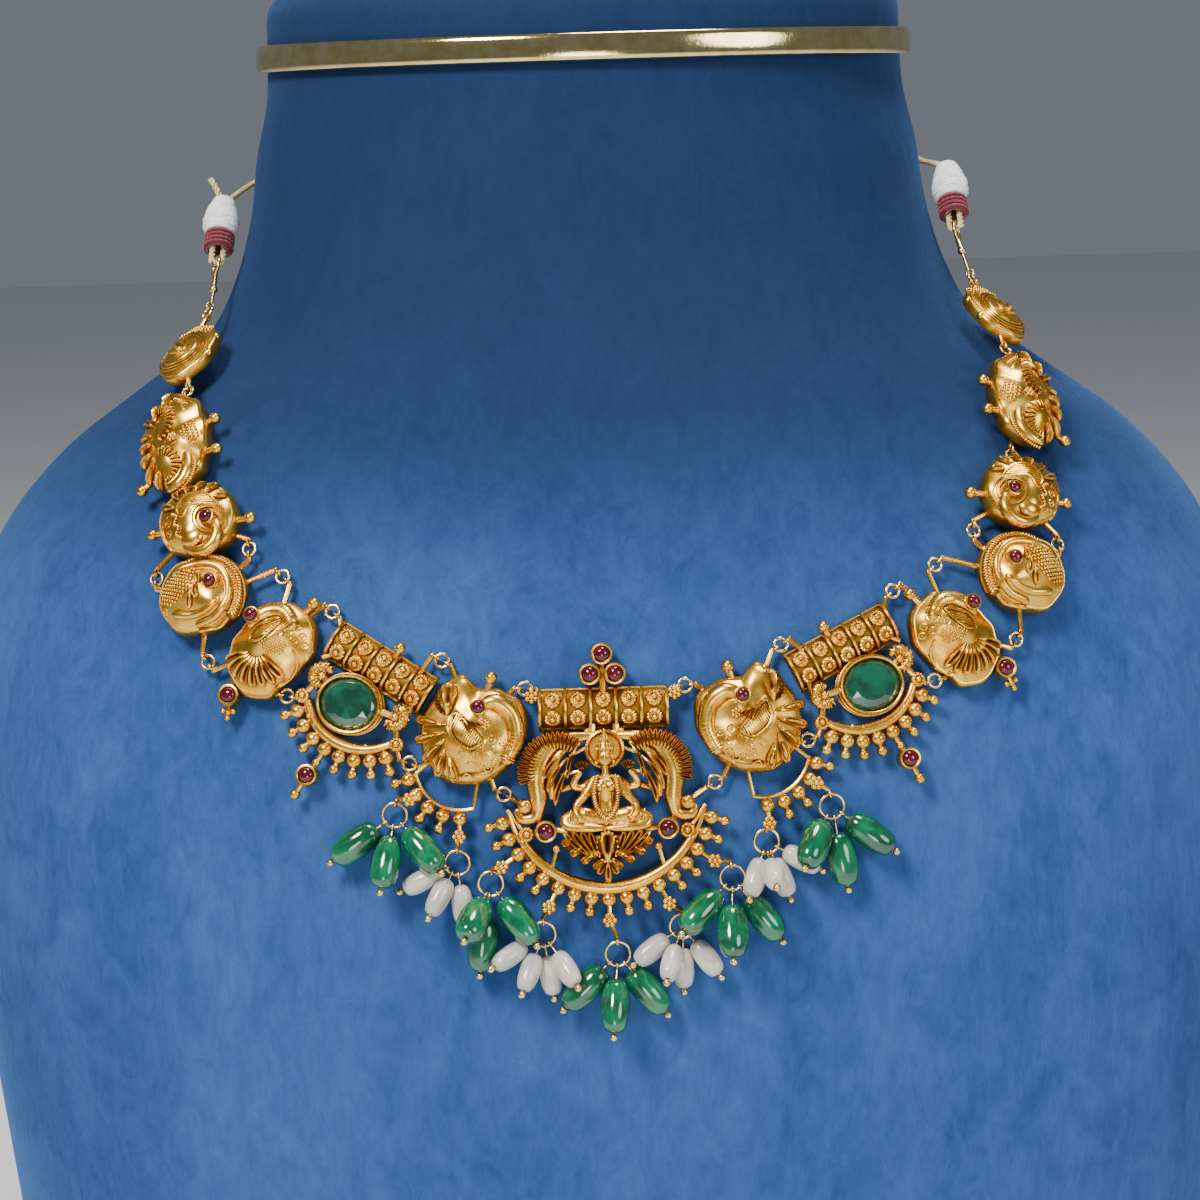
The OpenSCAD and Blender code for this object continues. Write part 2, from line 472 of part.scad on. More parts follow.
// Ruby drop soldered below the second peacock: its place in the plaque's frame, and the way it points
DROP = [[-6.9, -8.5, -94], [-8.2, -6.4, -112]];
module ruby_drop() {
    round_bezel([0, 0, 0.3], ruby_d, 2.4);
    rod([-4, 0, 0.9], [-1, 0, 0.9], 0.7);
    rod([1.4, 0, 1.2], [2.8, 0, 1.2], 0.5);
    for (p = [[3, 0], [2.7, -0.9], [2.7, 0.9], [3.9, 0]]) ball([p.x, p.y, 1.2], 1.1);
}
module peacock_2(side) {
    s = PEACOCK_2[side];
    color("goldenrod") union() {
        at(s) sided(side) {
            peacock(PEACOCK_2_EDGE, [205, 335, 0.8], PEACOCK_2_BUMPS, [[4.6, 3.4, 3.6], [3, 5.6, 3.4],
                [0.6, 6, 3.4], [-1.4, 5, 4], [-2.6, 3.6, 4.2]], peacock_2_eye, [5, 5], [7.3, 7.6]);
            translate([DROP[side].x, DROP[side].y, 0]) rotate([0, 0, DROP[side].z]) ruby_drop();
        }
        joint_eyes(side, [4, 5], s, 1);
        joint_eyes(side, [6, 7], s, -1);
    }
}

// Outline points of an oval
function oval(w, h, n = 32) = [for (i = [0 : n - 1]) [w / 2 * cos(360 * i / n), h / 2 * sin(360 * i / n)]];
EMERALD_FRINGE = [for (i = [0 : 7]) 229 + 12.8 * i];
emerald_arc = [0.9, 3.6];
emerald_turn = 14;
stone_floor = 1.2;
module emerald_setting(side) {
    s = EMERALD[side];
    color("goldenrod") union() {
        at(s) sided(side) {
            rotate([0, 0, emerald_turn]) difference() {
                linear_extrude(3.4) polygon(oval(emerald_w + 1.3, emerald_h + 1.3));
                translate([0, 0, stone_floor]) linear_extrude(4)
                    polygon(oval(emerald_w + 2 * stone_gap, emerald_h + 2 * stone_gap));
            }
            rosette_bar([1.1, 8], 19.4, 5);
            ball([2.4, 12.6, 1.6], 2);
            rod([2.4, 12.4, 1.4], [2.3, 10.6, 1.2], 0.5);
            crescent(emerald_arc, 10.4, 215, 331, 2.1, 1.3, 14, 1.4);
            fringe(emerald_arc, 10.9, [for (i = [0 : 7]) if (i != 3) EMERALD_FRINGE[i]], [], 1.4);
            emerald_side([-6.6, 1.6], 60, 300, [-7.8, -3]);
            emerald_side([8, 2.2], -120, 120, [10.6, -1.6]);
            for (p = [[-7.8, -3, 0.6], [10.6, -1.6, 0.6]]) translate(p) {
                cylinder(r = 1.3, h = 1.8);
                ball([0, 0, 2], 1.3);
            }
            rod([-8.4, 4.2, 1.2], [-6.6, 6.4, 1.2], 0.5);
            rod([9.4, 4, 1.2], [9.2, 6, 1.2], 0.5);
            // Drop with its ruby setting and ball below the fringe
            translate([emerald_arc.x, emerald_arc.y, 1.4]) rotate([0, 0, EMERALD_FRINGE[3]]) {
                ball([12.4, 0, 0], ball_d);
                rod([10.4, 0, 0], [16.4, 0, 0], 0.5);
                round_bezel([17.7, 0, -0.8], ruby_d, 2.4);
                rod([19.4, 0, 0], [21, 0, 0], 0.5);
                ball([21.6, 0, 0], 1.9);
            }
        }
        joint_eyes(side, [2, 3], s, 1, [[7.6, 10.4, 1.3], [10.6, -2, 1.2]]);
        joint_eyes(side, [4, 5], s, -1, [[-7.4, 8.8, 1.2], [-8, -3, 1.2]]);
    }
}
// Ribbed scroll beside the emerald
module emerald_side(c, a, b, foot) {
    limb(arc(c, 1.6, a, b, 8, 2), [0.5, 0.8, 0.9, 0.9, 0.9, 0.9, 0.9, 0.8, 0.5]);
    ball([c.x, c.y, 2], 1.5);
    rod([c.x, c.y, 1.8], [5.4 * sign(c.x), c.y * 0.8, 1.8], 0.7);
    rod([c.x, c.y, 1.8], [foot.x, foot.y, 1.6], 0.6);
}
// Cut oval stone: table, crown facets, girdle and pavilion
module emerald(side) {
    rows = [[0.3, 0], [0.72, 0.35], [1, 1], [1, 1.3], [0.86, 1.9], [0.64, 2.35]];
    color("seagreen") at(EMERALD[side]) sided(side) rotate([0, 0, emerald_turn])
        translate([0, 0, stone_floor + stone_gap]) skinned([for (r = rows)
            [for (p = oval(emerald_w * r[0] - 0.04, emerald_h * r[0] - 0.04, 16)) [p.x, -p.y, r[1]]]]);
}
// Plaque with a domed head, a rope crest and a smooth chest
module crested_plaque(side) {
    s = CRESTED[side];
    color("goldenrod") union() {
        at(s) sided(side) {
            relief(CRESTED_EDGE, 1.8, 4.2, [300, 301, 0], CRESTED_BUMPS);
            limb(arc([0, 0], 6.4, 24, 176, 12, 3.4), [for (i = [0 : 12]) 1.2 - 0.02 * i]);
            translate([-0.4, 3, 4]) cylinder(d = 2.9, h = 2.6);
        }
        joint_eyes(side, [6, 7], s, 1);
        joint_eyes(side, [8, 9], s, -1);
    }
}
// Plaque with a raised paisley, feathers and a bird's head
module paisley_plaque(side) {
    s = PAISLEY[side];
    color("goldenrod") union() {
        at(s) sided(side) {
            relief(PAISLEY_EDGE, 1.8, 3.6, [110, 230, 0.8], PAISLEY_BUMPS);
            limb(arc([3, 0.4], 3.2, -70, 130, 8, 4.4), [0.7, 0.9, 1.1, 1.2, 1.2, 1.2, 1.1, 1, 0.7]);
            translate([1.4, 3, 3.4]) cylinder(d = 3, h = 2.8);
            rod([2, 6, 1.6], [2.8, 8.6, 1.6], 0.6);
            ball([3, 9, 1.7], 2.2);
            rod([-2, -6, 1.6], [-2.6, -8.4, 1.6], 0.6);
            ball([-2.8, -8.8, 1.7], 2);
        }
        joint_eyes(side, [8, 9], s, 1);
        joint_eyes(side, [10], s, -1);
    }
}
// Long plaque: two curved bands with granular edges over leaves
module leaf_plaque(side) {
    s = LEAF[side];
    color("goldenrod") union() {
        at(s) sided(side) {
            relief(LEAF_EDGE, 1.8, 2.6, [200, 340, 0.7], LEAF_BUMPS);
            limb(arc([-4.6, -2.4], 5, 20, 160, 8, 3.4), [0.7, 1, 1.1, 1.2, 1.2, 1.2, 1.1, 1, 0.7]);
            limb(arc([5.4, -2], 4.6, 10, 165, 8, 3.2), [0.7, 1, 1.1, 1.2, 1.2, 1.2, 1.1, 1, 0.7]);
            for (p = [[-3.4, 7.8, 1.6], [3.6, 7.6, 1.6], [6.2, -7.8, 1.6]]) ball(p, 2.1);
            rod([-3.4, 7.8, 1.6], [-3, 5, 1.6], 0.6);
            rod([3.6, 7.6, 1.6], [3.2, 5, 1.6], 0.6);
            rod([6.2, -7.8, 1.6], [5, -5.4, 1.6], 0.6);
        }
        joint_eyes(side, [10], s, 1);
        joint_eyes(side, [11], s, -1);
    }
}
module end_paisley(side) {
    s = END_PAISLEY[side];
    color("goldenrod") union() {
        at(s) sided(side) {
            relief(END_EDGE, 1.4, 1.8, [400, 401, 0], END_BUMPS, 32, 5);
            limb(arc([1, -0.2], 2.9, -60, 200, 10, 2.6), [for (i = [0 : 10]) 0.75]);
            for (p = [[-3, 5, 1.2], [1.6, 5.4, 1.2]]) ball(p, 1.8);
        }
        joint_eyes(side, [11], s, 1);
        joint_eyes(side, [12], s, -1);
    }
}
// Ruby eyes of the four plaques and of the drops on one side
module small_rubies(side) {
    color("maroon") {
        at(PEACOCK_1[side]) sided(side) bead_eye([peacock_1_eye.x, peacock_1_eye.y, 5.9]);
        at(PEACOCK_2[side]) sided(side) bead_eye([peacock_2_eye.x, peacock_2_eye.y, 5.9]);
        at(CRESTED[side]) sided(side) bead_eye([-0.4, 3, 6.6]);
        at(PAISLEY[side]) sided(side) bead_eye([1.4, 3, 6.2]);
        at(EMERALD[side]) sided(side) translate([emerald_arc.x, emerald_arc.y, 1.4])
            rotate([0, 0, EMERALD_FRINGE[3]]) cabochon([17.7, 0, -0.8], ruby_d - 0.1, 2.4);
        at(PEACOCK_2[side]) sided(side) cabochon([DROP[side].x, DROP[side].y, 0.3], ruby_d - 0.1, 2.4);
    }
}
// Small domed stone that stands on the flat of its setting
module bead_eye(p) {
    translate(p + [0, 0, stone_gap]) rotate_extrude() intersection() {
        circle(d = 2.1);
        square([2, 2]);
    }
}
module bead_rings() {
    color("gold") for (k = [0 : 8]) at(ring_frame(k)) wire_ring(bead_ring_r, bead_wire);
}
function ring_frame(k) = [BEAD_RINGS[k][0], BEAD_RINGS[k][1], 0, BEAD_RINGS[k][2]];
pin_eye_r = 0.6;
pin_wire = 0.4;
// Frame of one hanging bead: +Z runs down the pin from the middle of its eye
module pin_frame(b) {
    rotate([0, 0, -b[0]]) translate([0, -bead_ring_r, 0]) rotate([90 - b[1], 0, 0]) children();
}
module pins(k) {
    size = k % 2 == 0 ? green_bead : pearl;
    color("gold") at(ring_frame(k)) for (b = BEADS[k]) pin_frame(b) {
        rotate([0, 90, 0]) wire_ring(pin_eye_r, pin_wire);
        translate([0, 0, pin_eye_r]) cylinder(d = pin_wire, h = b[2] + size.y + 0.8);
        translate([0, 0, pin_eye_r + b[2] + size.y + 0.85]) sphere(d = 1.3);
    }
}
module beads(k, size, tone) {
    w = size.x;
    h = size.y;
    // Barrel with an arched side: radius of the arch from its sagitta
    sag = w / 2 - w * 0.16;
    big = (h * h / 4 + sag * sag) / (2 * sag);
    color(tone) at(ring_frame(k)) for (b = BEADS[k]) pin_frame(b)
        translate([0, 0, pin_eye_r + b[2] + 0.1 + h / 2]) rotate_extrude() intersection() {
            translate([w / 2 - big, 0]) circle(r = big, $fn = 120);
            translate([0.34, -h / 2 + 0.02]) square([w, h - 0.04]);
        }
}
module jump_rings(side) {
    color("gold") for (j = JOINTS[side]) at([j[0], j[1], j[3], j[2]]) wire_ring(jump_r, jump_wire);
}
// Slim link between the last jump ring and the loop of the cord
module end_link(side) {
    e = CORD_END[side];
    color("gold") union() {
        joint_eyes(side, [12], END_LINK[side], 1, [[0, 0, 0]]);
        at(END_LINK[side]) sphere(d = 1.6);
        frame_at([axes(e)[0], axes(e)[1], axes(e)[2], place(e, [-5.7, 0, 0])]) wire_ring(1.9, 0.7);
        rod(place(e, [-7.6, 0, 0]), place(END_LINK[side], [0, 0, 0]), 0.5);
    }
}
bore_d = 3.4;
module whipping(side) {
    color("darkred") at(CORD_END[side]) rotate([0, 90, 0]) rotate_extrude() difference() {
        union() {
            translate([0, -1.8]) square([2.35, 3.6]);
            for (i = [0 : 3]) translate([2.35, -1.35 + 0.9 * i]) circle(d = 0.9);
        }
        translate([0, -3]) square([bore_d / 2, 6]);
    }
}
module cotton_binding(side) {
    color("white") at(CORD_END[side]) translate([2, 0, 0]) rotate([0, 90, 0]) rotate_extrude() difference() {
        polygon([[0, 0], [2.7, 0], [3.4, 1.2], [3.5, 3], [3, 5.4], [2.2, 7.6], [2, 8], [0, 8]]);
        translate([0, -1]) square([bore_d / 2, 10]);
    }
}
function end_points(side, P) = [for (p = P) place(CORD_END[side], p)];
function reversed(P) = [for (i = [len(P) - 1 : -1 : 0]) P[i]];
module neck_cord() {
    round_neck = [for (q = NECK_ROUTE) skin(q[0], q[1]) + outward(q[0], q[1]) * q[2]];
    route = concat(end_points(0, CORD_TAIL), end_points(0, CORD_LOOP), end_points(0, CORD_AWAY),
        through(round_neck, 2), reversed(end_points(1, CORD_AWAY)), reversed(end_points(1, CORD_LOOP)),
        end_points(1, [[6, 0, 1.05]]));
    color("khaki") limb(route, [for (p = route) cord_d / 2], up = axes(CORD_END[0])[1]);
}

bust();
neck_band();
centre_pendant();
ruby_trio();
pendant_rubies();
peacock_1(0);  // peacock_1_left
peacock_1(1);  // peacock_1_right
emerald_setting(0);  // emerald_setting_left
emerald_setting(1);  // emerald_setting_right
emerald(0);  // emerald_left
emerald(1);  // emerald_right
peacock_2(0);  // peacock_2_left
peacock_2(1);  // peacock_2_right
crested_plaque(0);  // crested_plaque_left
crested_plaque(1);  // crested_plaque_right
paisley_plaque(0);  // paisley_plaque_left
paisley_plaque(1);  // paisley_plaque_right
leaf_plaque(0);  // leaf_plaque_left
leaf_plaque(1);  // leaf_plaque_right
end_paisley(0);  // end_paisley_left
end_paisley(1);  // end_paisley_right
small_rubies(0);  // small_rubies_left
small_rubies(1);  // small_rubies_right
beads(0, green_bead, "green");  // green_beads_1
beads(1, pearl, "ivory");  // pearls_2
beads(2, green_bead, "green");  // green_beads_3
beads(3, pearl, "ivory");  // pearls_4
beads(4, green_bead, "green");  // green_beads_5
beads(5, pearl, "ivory");  // pearls_6
beads(6, green_bead, "green");  // green_beads_7
beads(7, pearl, "ivory");  // pearls_8
beads(8, green_bead, "green");  // green_beads_9
pins(0);  // pins_1
pins(1);  // pins_2
pins(2);  // pins_3
pins(3);  // pins_4
pins(4);  // pins_5
pins(5);  // pins_6
pins(6);  // pins_7
pins(7);  // pins_8
pins(8);  // pins_9
bead_rings();
jump_rings(0);  // jump_rings_left
jump_rings(1);  // jump_rings_right
end_link(0);  // end_link_left
end_link(1);  // end_link_right
whipping(0);  // whipping_left
whipping(1);  // whipping_right
cotton_binding(0);  // cotton_binding_left
cotton_binding(1);  // cotton_binding_right
neck_cord();
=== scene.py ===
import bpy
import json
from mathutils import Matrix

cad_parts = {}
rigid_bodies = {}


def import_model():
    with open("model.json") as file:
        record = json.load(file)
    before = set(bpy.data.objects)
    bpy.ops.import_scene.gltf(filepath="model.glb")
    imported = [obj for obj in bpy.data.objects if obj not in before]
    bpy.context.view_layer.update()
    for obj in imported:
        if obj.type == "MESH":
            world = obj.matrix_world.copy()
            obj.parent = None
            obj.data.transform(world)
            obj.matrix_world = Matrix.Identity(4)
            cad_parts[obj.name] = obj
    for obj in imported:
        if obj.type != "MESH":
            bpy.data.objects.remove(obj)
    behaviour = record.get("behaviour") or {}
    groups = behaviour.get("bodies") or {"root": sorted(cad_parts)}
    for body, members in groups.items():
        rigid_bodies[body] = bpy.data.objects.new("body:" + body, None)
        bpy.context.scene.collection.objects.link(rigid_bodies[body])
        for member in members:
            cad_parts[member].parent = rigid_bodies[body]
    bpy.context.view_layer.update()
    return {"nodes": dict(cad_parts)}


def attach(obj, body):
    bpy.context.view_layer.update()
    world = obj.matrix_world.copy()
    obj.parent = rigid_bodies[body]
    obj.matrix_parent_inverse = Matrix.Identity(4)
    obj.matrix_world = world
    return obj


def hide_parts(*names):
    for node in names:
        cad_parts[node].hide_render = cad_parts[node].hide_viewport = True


bl_info = {
    "name": "Temple necklace on a velvet neck bust",
    "version": (1, 0, 0),
    "blender": (4, 5, 0),
    "location": "3D View > Sidebar > Necklace",
    "description": "Goldwork, stones, beads and velvet bust of a temple necklace, built on its packed model",
    "category": "Object",
}

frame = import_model()

import json
import math

import bpy
import numpy as np
from mathutils import Matrix, Vector

MM = 0.001
SIDES = ("left", "right")

# Bust levels: height, half width, half depth, centre along Y, squareness of the section
BUST = np.array([[0, 116, 66, 0, 2.5], [45, 120, 69, -1, 2.5], [95, 124, 71, -1, 2.45],
                 [130, 125, 68, 0, 2.4], [155, 122, 63, 1.5, 2.3], [172, 115, 58.5, 3.5, 2.2],
                 [186, 103, 54.5, 6, 2.1], [197, 88, 51.5, 8.5, 2.05], [206, 75.5, 49.3, 11, 2],
                 [216, 69.5, 48, 13.5, 2], [228, 65.8, 47, 15.5, 2], [240, 64, 46.4, 16.8, 2],
                 [252, 61.4, 45, 17.6, 2], [276, 60.8, 44.8, 18.5, 2]])
BUST_TOP = 272
BAND_Z = 258.6
SEAT = 0.7

# Places on the bust: azimuth, height, turn, lift of the back above the velvet
PENDANT = (-90, 140, 0, SEAT + 0.2)
PEACOCK_1 = ((-97.4, 144.2, 0, SEAT), (-81.6, 144.8, 0, SEAT))
EMERALD = ((-107, 149.2, -31, SEAT + 0.2), (-71.8, 149.6, 24, SEAT + 0.2))
PEACOCK_2 = ((-114.6, 158.2, 0, SEAT + 0.4), (-63.4, 156.6, 0, SEAT + 0.4))
CRESTED = ((-121.8, 165.4, -52, SEAT + 1), (-55.6, 164.8, 48, SEAT + 1))
PAISLEY = ((-125.8, 176.4, -60, SEAT + 1.6), (-51, 176.6, 60, SEAT + 1.6))
LEAF = ((-135.6, 188, -62, SEAT + 1.8), (-39.8, 190.4, 64, SEAT + 1.8))
END_PAISLEY = ((-152, 201.4, -66, SEAT + 3.4), (-22, 203.6, 70, SEAT + 3.4))
CORD_END = ((-168, 223, 128, 5.6), (-12, 225.6, 52, 5.2))

# Jump rings: azimuth, height, lift, heading from the piece nearer the pendant to the next one
JOINTS = (
    ((-94.3, 151.4, 1.8, 176), (-95.4, 134.4, 1.8, 150), (-100.3, 156.2, 1.8, 150), (-102, 139.6, 2, 160),
     (-109.9, 164, 2, 140), (-112.5, 150.4, 2, 170), (-115.4, 169.4, 2.2, 140), (-120.5, 155.6, 2.2, 130),
     (-119.8, 173.6, 2.4, 100), (-128.6, 168.2, 2.8, 100), (-130, 182, 1.5, 105), (-143.6, 196.4, 4.4, 118),
     (-158.6, 209.4, 5.6, 112)),
    ((-85.4, 151.2, 1.8, 4), (-84.1, 135.4, 1.8, 30), (-78.2, 157, 2.1, 30), (-77.3, 141.4, 2, 20),
     (-67.8, 164.4, 2, 40), (-66.1, 149.6, 2, 10), (-63, 168, 2.2, 40), (-57.4, 155, 2.2, 50),
     (-57.6, 172.8, 2.4, 80), (-49, 169, 2.8, 80), (-46.4, 184.2, 1.5, 75), (-30.6, 198.6, 4.4, 62),
     (-19.4, 211.4, 5.6, 68)))
JUMP_R = 1.15
EYE_R = 0.72

# Bead rings: azimuth, height, lift, heading of the hanger eye
BEAD_RINGS = (
    (-102.9, 131.2, 2.4, 262), (-98.4, 123.2, 2.4, 268), (-96.2, 119.6, 2.4, 262), (-93.1, 110.9, 2.4, 268),
    (-89.8, 107.2, 2.4, 270), (-86.6, 111.6, 2.4, 272), (-83.4, 119.4, 2.4, 276), (-81, 125.2, 2.4, 272),
    (-76.1, 130.4, 2.4, 278))
BEAD_RING_R = 2.1
PIN_EYE_R = 0.6
BORE_R = 0.36

# Round seat of a set ruby, radii of the wire of an eye and of the bars that tie eyes to their piece
RUBY_SEAT_R = 1.47
EYE_WIRE_R = 0.2
TIE_R = 0.46
HANGER_TIE_R = 0.4

# Camera: lens and sensor width in millimetres, distance and aim in metres, pitch down and roll in degrees
LENS = 72
SENSOR = 36
AWAY = 0.414
PITCH = 12
ROLL = 1.75
CAMERA_AIM = (0, -0.055, 0.165)

# Lights: name, place, width in metres, power in watts, colour; all of them face the same point
LIGHT_AIM = (0, -0.03, 0.17)
LIGHTS = (
    ("key_light", (-0.3, -0.5, 0.72), 0.22, 8, (1.0, 0.97, 0.92)),
    ("fill_light", (0.6, -0.6, 0.45), 0.4, 2.6, (0.92, 0.96, 1.0)),
    ("top_light", (0.1, 0.0, 0.85), 0.25, 4, (1.0, 0.98, 0.95)),
    ("low_light", (0.0, -0.75, 0.12), 0.2, 0.8, (1.0, 0.95, 0.88)))

# Round edge of the bust's top: drop below the top, share of the outline
TOP_EDGE = ((7, 1), (5.2, 0.996), (3.5, 0.985), (2.2, 0.965), (1.2, 0.94), (0.4, 0.9), (0, 0.86))

# Beads of each cluster: angle round the ring, lean outwards, free length of the pin
BEADS = (((54, 6, 0.8), (8, 24, 0.9), (-42, 18, 0.5)), ((64, 2, 0.6), (28, 25, 0.5), (-6, 0, 1)),
         ((26, 54, 0.9), (8, 4, 3), (-38, 18, 0.6)),
         ((62, 32, 0.9), (22, 34, 1), (-8, 0, 1), (-36, 34, 1.3)),
         ((46, 6, 0.6), (5, 30, 1.7), (-38, 6, 0.7)),
         ((55, 12, 0.4), (22, 46, 1.2), (0, 0, 1.1), (-36, 12, 0.6)),
         ((48, 22, 0.6), (4, 32, 2.2), (-36, 6, 1.1)),
         ((22, 24, 0.4), (-2, 65, 2.1), (-20, 4, 0.4), (-60, 4, 0.5)),
         ((34, 35, 0.6), (-8, 5, 1.7), (-52, 10, 0.6)))

# Outlines of the domed plaques: angle, radius; and their soft bumps: x, y, width, height
PEACOCK_EDGE = ((0, 8.8), (32, 9.6), (56, 8.8), (84, 7.9), (104, 10.6), (122, 10.2), (140, 9.4), (170, 9.6),
                (205, 9.5), (238, 9.4), (268, 8.6), (300, 8), (332, 8))
PEACOCK_BUMPS = ((-2, 0.4, 3, 1.2), (3.4, -4, 3.6, 1.4), (1.4, 4, 2.2, 1), (-4, 8.2, 1.8, 1))
PEACOCK_2_EDGE = ((0, 8), (30, 8.8), (60, 8.6), (90, 7.2), (120, 6.2), (150, 6.2), (180, 7.2), (215, 8.8),
                  (245, 9.6), (268, 9.2), (292, 7.2), (325, 7))
PEACOCK_2_BUMPS = ((3, 3, 3.8, 1.4), (-0.4, 0.6, 2.6, 1.2), (-2.4, 4.4, 2, 0.8))
CRESTED_EDGE = ((0, 6), (40, 6.4), (80, 7.4), (120, 7.8), (160, 7.4), (200, 8.8), (240, 9), (280, 8.2),
                (320, 6.4))
CRESTED_BUMPS = ((-2.6, -1, 3.6, 1.6), (3.4, 1.4, 2.6, 1))
PAISLEY_EDGE = ((0, 5.8), (45, 6.8), (90, 7.4), (135, 8), (180, 7.6), (225, 8), (270, 7.2), (315, 6))
PAISLEY_BUMPS = ((-3, 0.6, 2.8, 1.4), (2.8, -1.6, 2.8, 1))
LEAF_EDGE = ((0, 9), (30, 8.2), (60, 6.6), (90, 6.4), (125, 7.4), (155, 10.4), (180, 12.4), (210, 9.4),
             (240, 7.4), (270, 6.8), (300, 7.2), (330, 8.6))
LEAF_BUMPS = ((-5, 0.6, 3, 1.4), (4.4, -1.2, 3.2, 1.4), (0, 3, 2.6, 0.8))
END_EDGE = ((0, 8), (40, 6.8), (90, 6), (140, 6.6), (180, 7.4), (220, 6.4), (270, 5.8), (320, 6.6))
END_BUMPS = ((1.6, -0.4, 2.2, 1.2),)

# Route of the cord: along, across and out in the frame of each end, then azimuth, height, lift
CORD_TAIL = ((13.6, -1, 3.4), (12.4, -0.6, 2.2), (11, -0.2, 1.2), (9.6, 0, 1.05))
CORD_LOOP = ((-3.8, 0, 1.05), (-4.3, 0, 0.9), (-4.7, 0, 0.5), (-4.85, 0, 0), (-4.7, 0, -0.5),
             (-4.3, 0, -0.9), (-3.8, 0, -1.05))
CORD_AWAY = ((9.6, 0, -1.05), (10.8, 0, -1.2))
NECK_ROUTE = ((-184, 234, 2.4), (-192, 235.4, 1.6), (-204, 236.4, 1.2), (-216, 237, 1), (-228, 237.4, 1),
              (-240, 237.7, 1), (-250, 237.9, 1), (-260, 238, 1), (-270, 238, 1), (-280, 238, 1),
              (-290, 237.9, 1), (-300, 237.8, 1), (-312, 237.5, 1), (-324, 237.2, 1), (-336, 236.8, 1.2),
              (-348, 236, 1.6), (-355, 235, 2.2))


# The surface of the bust

def level(z):
    """Half width, half depth, centre and squareness of the bust at one height."""
    rows = BUST[:, 0]
    last = len(BUST) - 1
    i = int(np.clip(np.searchsorted(rows, z, side="right") - 1, 0, last - 1))

    def slope(k):
        a, b = max(k - 1, 0), min(k + 1, last)
        return (BUST[b] - BUST[a]) / (BUST[b][0] - BUST[a][0])

    h = BUST[i + 1][0] - BUST[i][0]
    u = (z - BUST[i][0]) / h
    return ((2 * u**3 - 3 * u**2 + 1) * BUST[i] + (u**3 - 2 * u**2 + u) * h * slope(i)
            + (3 * u**2 - 2 * u**3) * BUST[i + 1] + (u**3 - u**2) * h * slope(i + 1))


def skin(azimuth, z, share=1.0):
    """Points of the velvet at azimuths in degrees and one height."""
    _, half_w, half_d, centre, square = level(z)
    t = np.radians(np.asarray(azimuth, float))
    c, s = np.cos(t), np.sin(t)
    x = share * half_w * np.sign(c) * np.abs(c) ** (2 / square)
    y = centre + share * half_d * np.sign(s) * np.abs(s) ** (2 / square)
    return np.stack([x, y, np.full_like(x, z)], -1)


def unit(v):
    """Vectors of length one."""
    return v / np.linalg.norm(v, axis=-1, keepdims=True)


def outward(azimuth, z):
    """Direction straight out of the velvet."""
    return unit(np.cross(skin(azimuth + 0.2, z) - skin(azimuth - 0.2, z),
                         skin(azimuth, z + 0.2) - skin(azimuth, z - 0.2)))


def place_matrix(place, side=0):
    """From a place's own frame, x to the viewer's right, y up, z out, to the bust, all in millimetres."""
    azimuth, z, turn, lift = place
    n = outward(azimuth, z)
    v = unit(np.array([0, 0, 1]) - n * n[2])
    u = np.cross(v, n)
    c, s = math.cos(math.radians(turn)), math.sin(math.radians(turn))
    made = np.eye(4)
    made[:3, 0] = (u * c + v * s) * (-1 if side else 1)
    made[:3, 1] = v * c - u * s
    made[:3, 2] = n
    made[:3, 3] = skin(azimuth, z) + n * lift
    return made


def moved(matrix, points):
    """Points carried by a matrix."""
    return np.asarray(points, float) @ matrix[:3, :3].T + matrix[:3, 3]


def turned(axis, degrees, shift=(0, 0, 0)):
    """Matrix of a turn about x, y or z followed by a shift."""
    made = np.array(Matrix.Rotation(math.radians(degrees), 4, axis))
    made[:3, 3] = shift
    return made


def shifted(x, y, z):
    """Matrix of a plain shift."""
    return turned("Z", 0, (x, y, z))


def around(count):
    """Angles of even steps round a circle, in radians."""
    return np.radians(np.arange(count) * 360 / count)


def spread(values, count):
    """A short row of values drawn out to a longer one."""
    return np.interp(np.linspace(0, len(values) - 1, count), range(len(values)), values)


# Surfaces

def through(points, steps=6, closed=False):
    """Points of a smooth curve through given points."""
    p = np.asarray(points, float)
    n = len(p)
    made = []
    for i in range(n if closed else n - 1):
        if closed:
            a, b, c, d = p[i - 1], p[i], p[(i + 1) % n], p[(i + 2) % n]
        else:
            a, b, c, d = p[max(i - 1, 0)], p[i], p[i + 1], p[min(i + 2, n - 1)]
        for s in range(steps):
            u = s / steps
            made.append(b + 0.5 * u * (c - a + u * (2 * a - 5 * b + 4 * c - d + u * (3 * (b - c) + d - a))))
    if not closed:
        made.append(p[-1])
    return np.array(made)


def arc(centre, radius, start, stop, steps, z=0.0):
    """Points of a level arc, its angles in degrees."""
    t = np.radians(np.linspace(start, stop, steps + 1))
    return np.stack([centre[0] + radius * np.cos(t), centre[1] + radius * np.sin(t), np.full_like(t, z)],
                    -1)


